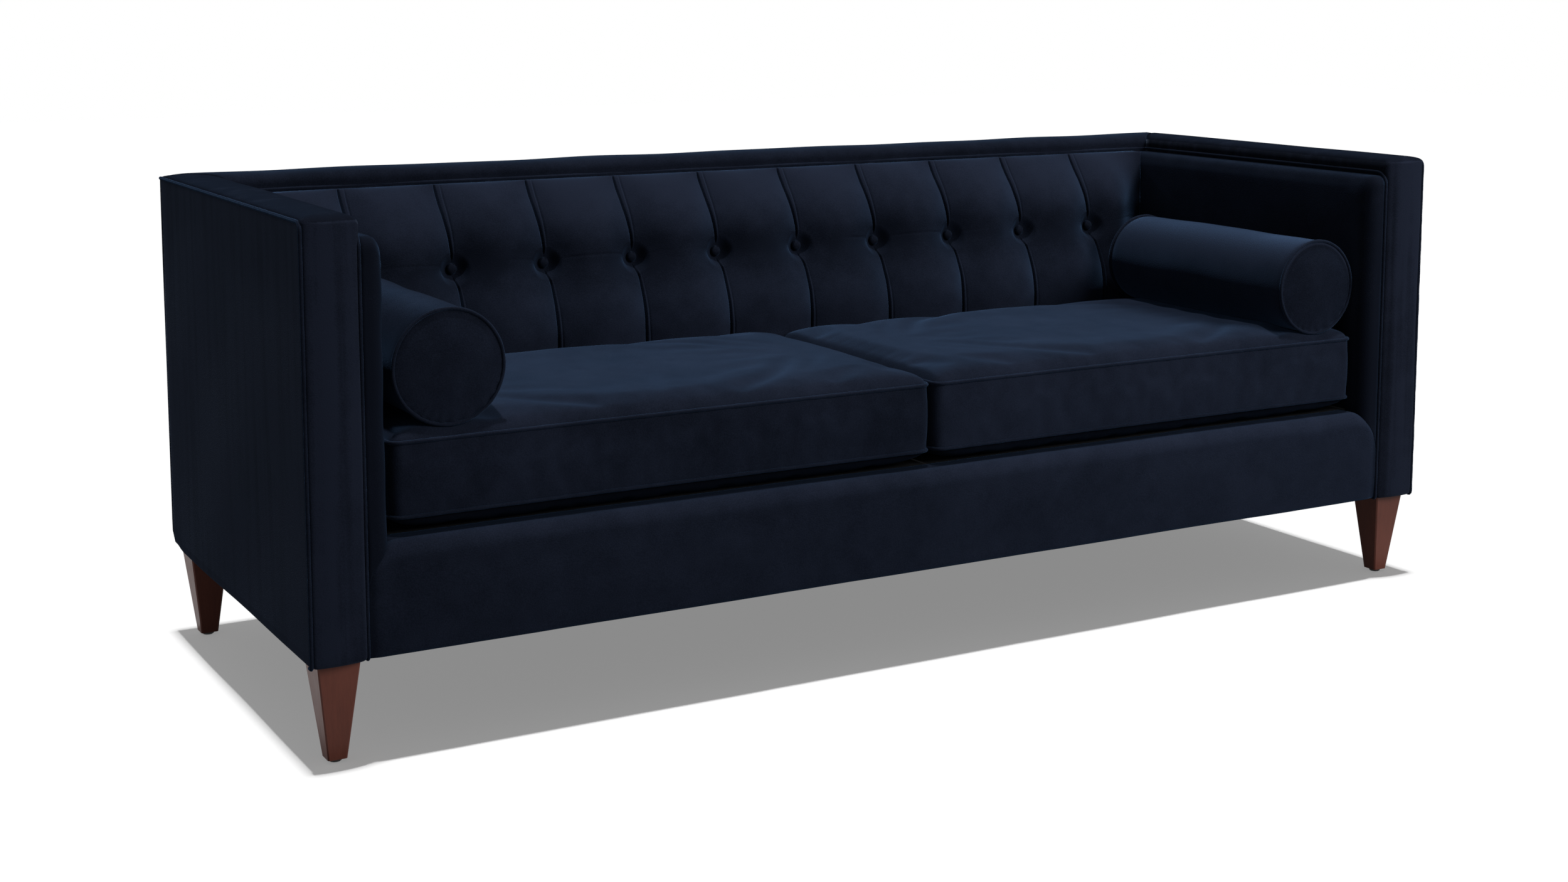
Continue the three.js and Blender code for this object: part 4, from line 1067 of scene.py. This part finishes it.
def rail_profile():
    """The rail's section: how far back from its face and how far above its foot."""
    hem_in, hem_up = hem_curve()
    face = np.linspace(0, 1, 30)[1:]
    roll = quarter(10)[1:]
    lip = np.linspace(0, 1, 6)[1:]
    depth = rail_high[1] - rail_low[1]
    height = rail_high[2] - rail_low[2]
    y = np.concatenate([hem_in, 0 * face, RAIL_ROLL * (1 - np.cos(roll)),
                        RAIL_ROLL + (depth - RAIL_ROLL) * lip])
    z = np.concatenate([hem_up, HEM_ROUND + (height - RAIL_ROLL - HEM_ROUND) * face,
                        height - RAIL_ROLL * (1 - np.sin(roll)), np.full(len(lip), height)])
    return y[:, None], z[:, None]


def rail_cover():
    """The rail's velvet: the section along X, lower where the ends are rounded."""
    y, z = rail_profile()
    share = np.sin(np.linspace(-1, 1, RAIL_COLUMNS) * np.pi / 2 * 0.9)[None]
    x = share / share.max() * rail_high[0]
    height = rail_high[2] - rail_low[2]
    rise = z - rail_drop(x) * smooth(z, height * 0.45, height)
    puff = 3 * MM * np.sin(np.pi * np.clip(z / height, 0, 1)) * bell(y, 0.02)
    back = y - puff + 3 * MM * smooth(np.abs(x), rail_high[0] - 0.02, rail_high[0]) * bell(y, 0.02)
    return np.stack([x + 0 * y, rail_low[1] + back + 0 * x, rail_low[2] + rise + 0 * x], -1)


grid = rail_cover()
wave = 0.9 * MM * unevenness(grid, 0.3, 51) + 0.3 * MM * unevenness(grid, 0.09, 52)
grid[..., 1] += wave
grid[..., 2] += 0.4 * wave * smooth(grid[..., 2], 0.25, 0.31)
rail = mesh_object("rail_velvet", grid, grid_faces(*grid.shape[:2]), velvet_plain,
                   centre=(0, rail_high[1] + 0.02, 0.2))
thicken(rail, 4 * MM)
# Painted shade on the rail's top and back, where the darkest copy of the velvet also goes, and at
# its rounded ends; painted light towards its right end.
second_velvet(rail, velvet_painted_darkest,
              lambda middle: middle.y > rail_low[1] + 20 * MM and middle.z > 0.2)
set_painted_shading(rail, lambda p: 0.3 * smooth(p[:, 0], -0.3, 0.7)
        - 0.6 * smooth(np.abs(p[:, 0]), rail_high[0] - 14 * MM, rail_high[0] - 4 * MM)
        - 0.8 * smooth(p[:, 1], rail_low[1] + 16 * MM, rail_low[1] + 28 * MM))
dress(rail, "root", "velvet", "rail_cover", fill=0.7)
print("rail cover: grid of", grid.shape[:2])

# %% [markdown]
# ## The seat deck
# Behind the rail's roll a black decking cloth is stretched over the springs. It shows when a
# cushion is lifted: six springs push it up in soft ridges.

# %% Deck
deck_low, deck_high = span("deck")


def deck_surface():
    """A flat panel with a low ridge over each spring, on a grid."""
    x = np.linspace(deck_low[0], deck_high[0], 150)[None]
    y = np.linspace(deck_low[1], deck_high[1], 40)[:, None]
    inset = np.sin(np.pi * (y - deck_low[1]) / (deck_high[1] - deck_low[1]))
    pitch = (deck_high[0] - deck_low[0]) / 6
    ridge = 0.5 - 0.5 * np.cos(2 * np.pi * (x - deck_low[0]) / pitch)
    top = deck_high[2] - 1.5 * MM * (1 - ridge) * np.clip(inset, 0, 1)
    return np.stack([x + 0 * y, y + 0 * x, top], -1)


grid = deck_surface()
points, faces = closed_behind(grid, 2, deck_low[2])
deck = mesh_object("deck_cloth", points, faces, FINISHES["lining"])
dress(deck, "root", "lining", "deck", fill=0.5)
print("deck: grid of", grid.shape[:2])

# %% [markdown]
# ## The dust cover
# A thin black cloth is stapled under the frame. It is stretched flat, sags by a millimetre in
# the middle, and is cut out round the plates of the four legs.

# %% Dust cover
dust_low, dust_high = span("dust_cover")
plate_low = span("leg_plate_back_right")[0]
NOTCH_X, NOTCH_Y = plate_low[0] - 4 * MM, plate_low[1] - 4 * MM


def dust_sheet():
    """The cloth as a grid with lines along its notches, and the faces outside the notches."""
    side = np.linspace(NOTCH_X, dust_high[0], 7)
    x = np.concatenate([np.linspace(-NOTCH_X, NOTCH_X, 110), side, -side])
    y = np.concatenate([np.linspace(dust_low[1], -NOTCH_Y, 6), np.linspace(-NOTCH_Y, NOTCH_Y, 40),
                        np.linspace(NOTCH_Y, dust_high[1], 6)])
    x, y = np.unique(x.round(6)), np.unique(y.round(6))
    x, y = np.meshgrid(x, y)
    u, v = np.clip(np.abs(x) / NOTCH_X, 0, 1), np.clip(np.abs(y) / NOTCH_Y, 0, 1)
    sag = 1.2 * MM * (1 - u ** 6) * (1 - v ** 4)
    grid = np.stack([x, y, dust_high[2] - sag], -1)
    faces = grid_faces(*x.shape)
    middle = grid.reshape(-1, 3)[faces].mean(1)
    return grid, faces[(np.abs(middle[:, 0]) < NOTCH_X) | (np.abs(middle[:, 1]) < NOTCH_Y)]


grid, faces = dust_sheet()
grid[..., 2] -= 0.3 * MM * (1 + unevenness(grid, 0.2, 81))
used, faces = np.unique(faces, return_inverse=True)
dust = mesh_object("dust_cloth", grid.reshape(-1, 3)[used], faces.reshape(-1, 4),
                   FINISHES["lining"], centre=(0, 0, 0.5))
thicken(dust, 0.8 * MM)
dress(dust, "root", "lining", "dust_cover")

# %% [markdown]
# ## Seat cushions
# A boxed cushion is three pieces of velvet: a top and a bottom panel and a band between them,
# with a welt in each seam. The foam inside is a little too big, so the top swells into a
# crown. The shape starts as panels on grids, and a short cloth simulation with some air
# pressure blows it up. The seams are pinned, because the cord holds them straight.

# %% Cushion shape
SEAT_UNDER = 27 * MM
SEAT_BAND = 110 * MM
SEAT_CORNER = 18 * MM
WELT_PROUD = 3 * MM
DRAW_IN = 4 * MM
CELL = 9 * MM
CROWN_START = 0.93


def rounded_plan(x, y, half_x, half_y, radius):
    """A rectangle's points with its corners pushed in to quarter circles."""
    u = np.clip((np.abs(x) - (half_x - radius)) / radius, 0, 1)
    v = np.clip((np.abs(y) - (half_y - radius)) / radius, 0, 1)
    new_u = u * np.sqrt(1 - v * v / 2)
    new_v = v * np.sqrt(1 - u * u / 2)
    px = np.where(u > 0, np.sign(x) * (half_x - radius + radius * new_u), x)
    py = np.where(v > 0, np.sign(y) * (half_y - radius + radius * new_v), y)
    return px, py


def panel_grid(half_x, half_y, radius):
    """A panel's plan on a grid about CELL apart, its sides drawn in between the corners, and
    each point's shares of the half sides on the plain grid."""
    nx, ny = int(round(2 * half_x / CELL)), int(round(2 * half_y / CELL))
    x, y = np.meshgrid(np.linspace(-half_x, half_x, nx + 1), np.linspace(-half_y, half_y, ny + 1))
    px, py = rounded_plan(x, y, half_x, half_y, radius)
    waist_x = DRAW_IN * (1 - (py / half_y) ** 2)
    waist_y = DRAW_IN * (1 - (px / half_x) ** 2)
    plan = (px - waist_x * (px / half_x) ** 5, py - waist_y * (py / half_y) ** 5)
    return *plan, x / half_x, y / half_y


def crown_share(u, v, power):
    """How high the crown is at a place: 1 in the middle, 0 on the seam, square-shouldered."""
    a = np.clip(1 - np.abs(u) ** power, 0, 1)
    b = np.clip(1 - np.abs(v) ** power, 0, 1)
    return np.sqrt(a * b)


def outward(loop, middle):
    """Level unit vectors from a middle to a loop's points."""
    out = loop - middle
    out[:, 2] = 0
    return out / np.linalg.norm(out, axis=1, keepdims=True)


def cushion_shape(low, high):
    """Top panel, band and bottom panel of one boxed cushion, as grids that share edges."""
    middle = (low + high) / 2
    half_x = (high[0] - low[0]) / 2 - WELT_PROUD
    half_y = (high[1] - low[1]) / 2 - WELT_PROUD
    x, y, u, v = panel_grid(half_x, half_y, SEAT_CORNER)
    lower, upper = low[2] + SEAT_UNDER, low[2] + SEAT_UNDER + SEAT_BAND
    crown = (high[2] - upper) * CROWN_START
    shoulder = crown_share(u, v, 18) ** 0.7
    share = 0.92 * shoulder + 0.08 * crown_share(u, v, 2.5)
    top = upper + crown * share
    bottom = lower - (lower - low[2]) * crown_share(u, v, 12)
    top_grid = np.stack([x + middle[0], y + middle[1], top], -1)
    bottom_grid = np.stack([x + middle[0], y + middle[1], bottom], -1)
    steps = int(round(SEAT_BAND / CELL))
    share = np.linspace(0, 1, steps + 1)[:, None, None]
    band = edge_loop(bottom_grid)[None] * (1 - share) + edge_loop(top_grid)[None] * share
    out = outward(edge_loop(top_grid), middle)
    band = band + out[None] * 2 * MM * np.sin(np.pi * share)
    return top_grid, bottom_grid, band, lower, upper


def cushion_mesh(name, low, high):
    """The cushion's closed mesh, its parts joined along the seams."""
    top, bottom, band, lower, upper = cushion_shape(low, high)
    rows, columns = top.shape[:2]
    count = rows * columns
    points = np.concatenate([top.reshape(-1, 3), bottom.reshape(-1, 3), band.reshape(-1, 3)])
    faces = np.concatenate([grid_faces(rows, columns), grid_faces(rows, columns, start=count),
                            grid_faces(band.shape[0], band.shape[1], wrap=True, start=2 * count)])
    cushion = mesh_object(name, points, faces, velvet_plain)
    return cushion, edge_loop(top), edge_loop(bottom), lower, upper


# %% [markdown]
# The simulation runs for a few frames only. Air pressure pushes the panels out between the
# pinned seams, and a slightly oversized cloth gives the small ripples that real velvet has
# beside a welt. Afterwards no point may have moved further than a cap, and the result is
# written into the mesh.

# %% Cloth inflation
PRESSURE = 0.3
FRAMES = 14
SLACK = 0.004
CAP = 8 * MM


def inflate(piece, pinned):
    """Blows a pinned cloth up by pressure and keeps each point within a cap of its start."""
    before = coordinates(piece.data)
    pins = piece.vertex_groups.new(name="pins")
    pins.add(np.flatnonzero(pinned).tolist(), 1.0, "REPLACE")
    cloth = piece.modifiers.new("cloth", "CLOTH")
    settings = cloth.settings
    settings.quality = 6
    settings.mass = 0.25
    settings.use_pressure = True
    settings.uniform_pressure_force = PRESSURE
    settings.shrink_min = -SLACK
    settings.tension_stiffness = 20
    settings.compression_stiffness = 20
    settings.bending_stiffness = 2
    settings.vertex_group_mass = "pins"
    settings.effector_weights.gravity = 0
    cloth.collision_settings.use_collision = False
    cloth.point_cache.frame_start, cloth.point_cache.frame_end = 1, FRAMES
    for number in range(1, FRAMES + 1):
        bpy.context.scene.frame_set(number)
    graph = bpy.context.evaluated_depsgraph_get()
    after = coordinates(piece.evaluated_get(graph).data)
    bpy.context.scene.frame_set(1)
    piece.modifiers.remove(cloth)
    piece.vertex_groups.remove(pins)
    move = after - before
    far = np.linalg.norm(move, axis=1, keepdims=True)
    move *= np.minimum(1, CAP / np.maximum(far, 1e-9))
    piece.data.vertices.foreach_set("co", (before + move).ravel())
    piece.data.update()
    return far.max()


def keep_sharp(piece, seam):
    """Creases the edges along the seams, so that subdivision leaves them where they are."""
    mesh = piece.data
    ends = np.empty(len(mesh.edges) * 2, np.int32)
    mesh.edges.foreach_get("vertices", ends)
    on_seam = seam[ends.reshape(-1, 2)].all(1)
    layer = mesh.attributes.new("crease_edge", "FLOAT", "EDGE")
    layer.data.foreach_set("value", on_seam.astype(np.float32))


def subdivide(piece):
    """One level of smooth subdivision, written into the mesh."""
    finer = piece.modifiers.new("finer", "SUBSURF")
    finer.levels = finer.render_levels = 1
    graph = bpy.context.evaluated_depsgraph_get()
    mesh = bpy.data.meshes.new_from_object(piece.evaluated_get(graph))
    piece.modifiers.clear()
    old, piece.data = piece.data, mesh
    bpy.data.meshes.remove(old)
    shade_smooth(mesh)


# %% Both cushions
def bolster_axis(name):
    """A bolster's middle line: x, z and radius."""
    low, high = span(f"bolster_{name}")
    return (low[0] + high[0]) / 2, (low[2] + high[2]) / 2, (high[0] - low[0]) / 2


for side_name, side in SIDES:
    low, high = span(f"seat_cushion_{side_name}")
    cushion, upper_seam, lower_seam, lower, upper = cushion_mesh(
        f"seat_cushion_velvet_{side_name}", low, high)
    start = coordinates(cushion.data)
    seam = (np.abs(start[:, 2] - lower) < 1e-5) | (np.abs(start[:, 2] - upper) < 1e-5)
    moved = inflate(cushion, seam)
    print(f"cushion {side_name}: moved up to {moved * 1000:.1f} mm")
    place = coordinates(cushion.data)
    x, z, radius = bolster_axis(side_name)
    across = np.clip(np.abs(place[:, 0] - x) / radius, 0, 1)
    underside = z - radius * np.sqrt(1 - across ** 2) + 0.2 * MM
    pressed = (place[:, 2] > upper + 1 * MM) & (across < 1)
    place[:, 2] = np.where(pressed, np.minimum(place[:, 2], underside), place[:, 2])
    place[:, 2] = np.maximum(place[:, 2], low[2])
    cushion.data.vertices.foreach_set("co", place.ravel())
    keep_sharp(cushion, seam)
    subdivide(cushion)
    # Painted shade under the cushion, where the darkest copy of the velvet also goes, and painted
    # light on the right cushion's band.
    set_painted_shading(cushion, lambda p: 0.3 * (side > 0) * (p[:, 2] < upper)
            - 0.9 * (1 - smooth(p[:, 2], lower - 6 * MM, lower)))
    second_velvet(cushion, velvet_painted_darkest, lambda middle: middle.z < lower - 2 * MM)
    dress(cushion, f"seat_cushion_{side_name}", "velvet", f"seat_cushion_{side_name}", fill=0.85)
    for seam_name, loop in (("upper", upper_seam), ("lower", lower_seam)):
        welt(f"seat_{seam_name}_welt_{side_name}",
             loop + outward(loop, (low + high) / 2) * 0.6 * MM,
             f"seat_cushion_{side_name}", closed=True, seed=61)
print("cushions: mesh of", len(cushion.data.vertices), "points")

# %% [markdown]
# ## Bolsters
# A bolster is a tube of velvet round a firm roll, closed by a disc at each end with a welt in
# the seam. The disc is gathered a little where it meets the welt, so short rays ripple its
# edge. The roll is firm and keeps its round: the cushion gives way under it.

# %% Bolster shape
BOLSTER_BELLY = 2 * MM
BOLSTER_CAP = 10 * MM


def bolster_shape(name):
    """A tube with bulging ends: rings along Y, then rings that close each end disc."""
    low, high = span(f"bolster_{name}")
    x, z, half = bolster_axis(name)
    radius = half - WELT_PROUD
    front, back = low[1] + BOLSTER_CAP, high[1] - BOLSTER_CAP
    angle = whole_turn(144)[None]
    close = np.cos(quarter(16))[:-1]
    bulge = 1 - close ** 2
    along = np.linspace(0, 1, 70)
    body = radius + BOLSTER_BELLY * np.sin(np.pi * along) ** 0.6
    y = np.concatenate([[front - BOLSTER_CAP], front - BOLSTER_CAP * bulge[::-1],
                        front + (back - front) * along[1:-1],
                        back + BOLSTER_CAP * bulge, [back + BOLSTER_CAP]])[:, None]
    r = np.concatenate([[0], radius * close[::-1], body[1:-1], radius * close, [0]])[:, None]
    edge = np.minimum(np.abs(y - front), np.abs(y - back))
    on_cap = (y < front) | (y > back)
    gather = 0.9 * MM * np.sin(angle * 26 + 3 * np.sin(angle * 3)) * bell(radius - r, 14 * MM)
    gather = gather * smooth(-np.sin(angle), -0.4, 0.9) * (r / radius)
    seam_dip = 1.8 * MM * bell(edge, 7 * MM) * ~on_cap
    rr = r - seam_dip + 0 * angle
    yy = y + np.where(on_cap, np.sign(y - (front + back) / 2) * gather, 0)
    points = np.stack([x + rr * np.cos(angle), yy + 0 * rr, z + rr * np.sin(angle)], -1)
    return points, (x, z, radius, front, back)


for side_name, side in SIDES:
    grid, (x, z, radius, front, back) = bolster_shape(side_name)
    out = grid - np.array([x, 0, z])
    out[..., 1] = 0
    size = np.maximum(np.linalg.norm(out, axis=-1, keepdims=True), 1e-6)
    uneven = 0.6 * MM * unevenness(grid, 0.2, 71) * (size[..., 0] / radius)
    grid = grid + out / size * uneven[..., None]
    # Painted light and shade. The right bolster's body is the copy painted lighter, with more
    # painted light on top; its end discs are the copy painted darker, the front one darker still.
    # The left bolster's body is the copy painted darker, and a little darker again.
    if side > 0:
        top, flank, cap, disc, body = 1.0, 0.1, -0.3, velvet_painted_darker, velvet_painted_lighter
    else:
        top, flank, cap, disc, body = -0.2, -0.2, 0, velvet_plain, velvet_painted_darker
    bolster = mesh_object(f"bolster_velvet_{side_name}", grid,
                          grid_faces(*grid.shape[:2], wrap=True), disc)
    set_painted_shading(bolster, lambda p: np.where(
        p[:, 1] < front - 1 * MM, cap,
        flank + (top - flank) * smooth(p[:, 2], z + 0.2 * radius, z + 0.9 * radius)))
    second_velvet(bolster, body, lambda middle: front < middle.y < back)
    dress(bolster, f"bolster_{side_name}", "velvet", f"bolster_{side_name}", fill=0.9)
    turn = whole_turn(180)
    rim = radius + 0.4 * MM
    for end_name, y in (("front", front), ("back", back)):
        ring = np.stack([x + rim * np.cos(turn), np.full_like(turn, y), z + rim * np.sin(turn)], 1)
        welt(f"bolster_{end_name}_welt_{side_name}", ring, f"bolster_{side_name}", closed=True,
             seed=72)
print("bolsters: grid of", grid.shape[:2])

# %% [markdown]
# ## Light, floor and background
# The studio is plain: a broad light straight overhead, a softer one from the front right and
# an even fill all round. A black flag keeps the front light off the floor, so the only shadow
# is the flat one straight below; a second overhead light falls on the floor alone, so that the
# fill hardly shows inside the shadow. The floor is white. Seen by the camera it gets a little
# glow of its own, so that open floor and background are the same white and only the shadow
# stays grey.

# %% Lamps
def lamp(name, kind, energy, place, target, **settings):
    """A lamp at a place, turned to a target."""
    data = bpy.data.lights.new(name, kind)
    data.energy = energy
    for key, value in settings.items():
        setattr(data, key, value)
    light = bpy.data.objects.new(name, data)
    light.location = place
    light.rotation_euler = (Vector(target) - Vector(place)).to_track_quat("-Z", "Y").to_euler()
    bpy.context.scene.collection.objects.link(light)
    return light


OVERHEAD = {"place": (0, 0, 4), "target": (0, 0, 0), "angle": math.radians(2.4)}
lamp("overhead", "SUN", 2.25, **OVERHEAD)
wash = lamp("floor_wash", "SUN", 3.4, **OVERHEAD)
key = lamp("front_right", "AREA", 180, place=(2.6, -3.6, 2.9), target=(0, 0, 0.45),
           shape="SQUARE", size=2.0)

# %% World and floor
WHITE = (1, 1, 1, 1)
FILL_LIGHT = (0.18, 0.18, 0.18, 1)
FLOOR_COLOUR = (0.40, 0.40, 0.40, 1)
FLOOR_BOUNCE = (0.113, 0.113, 0.113, 1)
FLOOR_GLOW = 0.252
FLOOR_SIZE = 30


def seen_directly(add):
    """One where the camera, a mirror or glass looks, nought for light that only bounces."""
    path = add("LightPath").outputs
    either = arithmetic(add, "MAXIMUM", path["Is Camera Ray"], path["Is Glossy Ray"])
    return arithmetic(add, "MAXIMUM", either, path["Is Transmission Ray"])


world = bpy.data.worlds.new("studio")
bpy.context.scene.world = world
world.use_nodes = True
tree = world.node_tree
add = node_adder(tree)
sky = between(add, seen_directly(add), FILL_LIGHT, WHITE)
tree.links.new(sky, tree.nodes["Background"].inputs["Color"])

floor_material = bpy.data.materials.new("studio_floor")
floor_material.use_nodes = True
floor_material.node_tree.nodes.clear()
add = node_adder(floor_material.node_tree)
tint = between(add, seen_directly(add), FLOOR_BOUNCE, FLOOR_COLOUR)
matt = add("BsdfDiffuse", {"Color": tint})
strength = arithmetic(add, "MULTIPLY", seen_directly(add), FLOOR_GLOW)
glow = add("Emission", {"Color": WHITE, "Strength": strength})
both = add("AddShader", {0: matt.outputs["BSDF"], 1: glow.outputs["Emission"]})
add("OutputMaterial", {"Surface": both.outputs["Shader"]})

reach = FLOOR_SIZE / 2
corners = [(-reach, -reach, 0), (reach, -reach, 0), (reach, reach, 0), (-reach, reach, 0)]
floor_mesh = bpy.data.meshes.new("floor")
floor_mesh.from_pydata(corners, [], [(0, 1, 2, 3)])
floor_mesh.materials.append(floor_material)
floor = bpy.data.objects.new("floor", floor_mesh)
bpy.context.scene.collection.objects.link(floor)
floor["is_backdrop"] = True

for light, state in ((key, "EXCLUDE"), (wash, "INCLUDE")):
    only_floor = bpy.data.collections.new(f"floor_{state.lower()}")
    only_floor.objects.link(floor)
    light.light_linking.receiver_collection = only_floor
    only_floor.collection_objects[0].light_linking.link_state = state
bpy.context.scene.view_settings.view_transform = "Standard"
print("studio: overhead light, one soft front light, white floor with its own wash of light")

# %% [markdown]
# The velvet may stand a little proud of the solids, but the sofa keeps its size. Both boxes
# are written out so that they can be compared.

# %% Sizes
visual_low, visual_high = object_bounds()
for axis, a, b, c, d in zip("xyz", cad_low, visual_low, cad_high, visual_high):
    print(f"{axis}: solids {a:.4f} to {c:.4f}, velvet {b:.4f} to {d:.4f}")
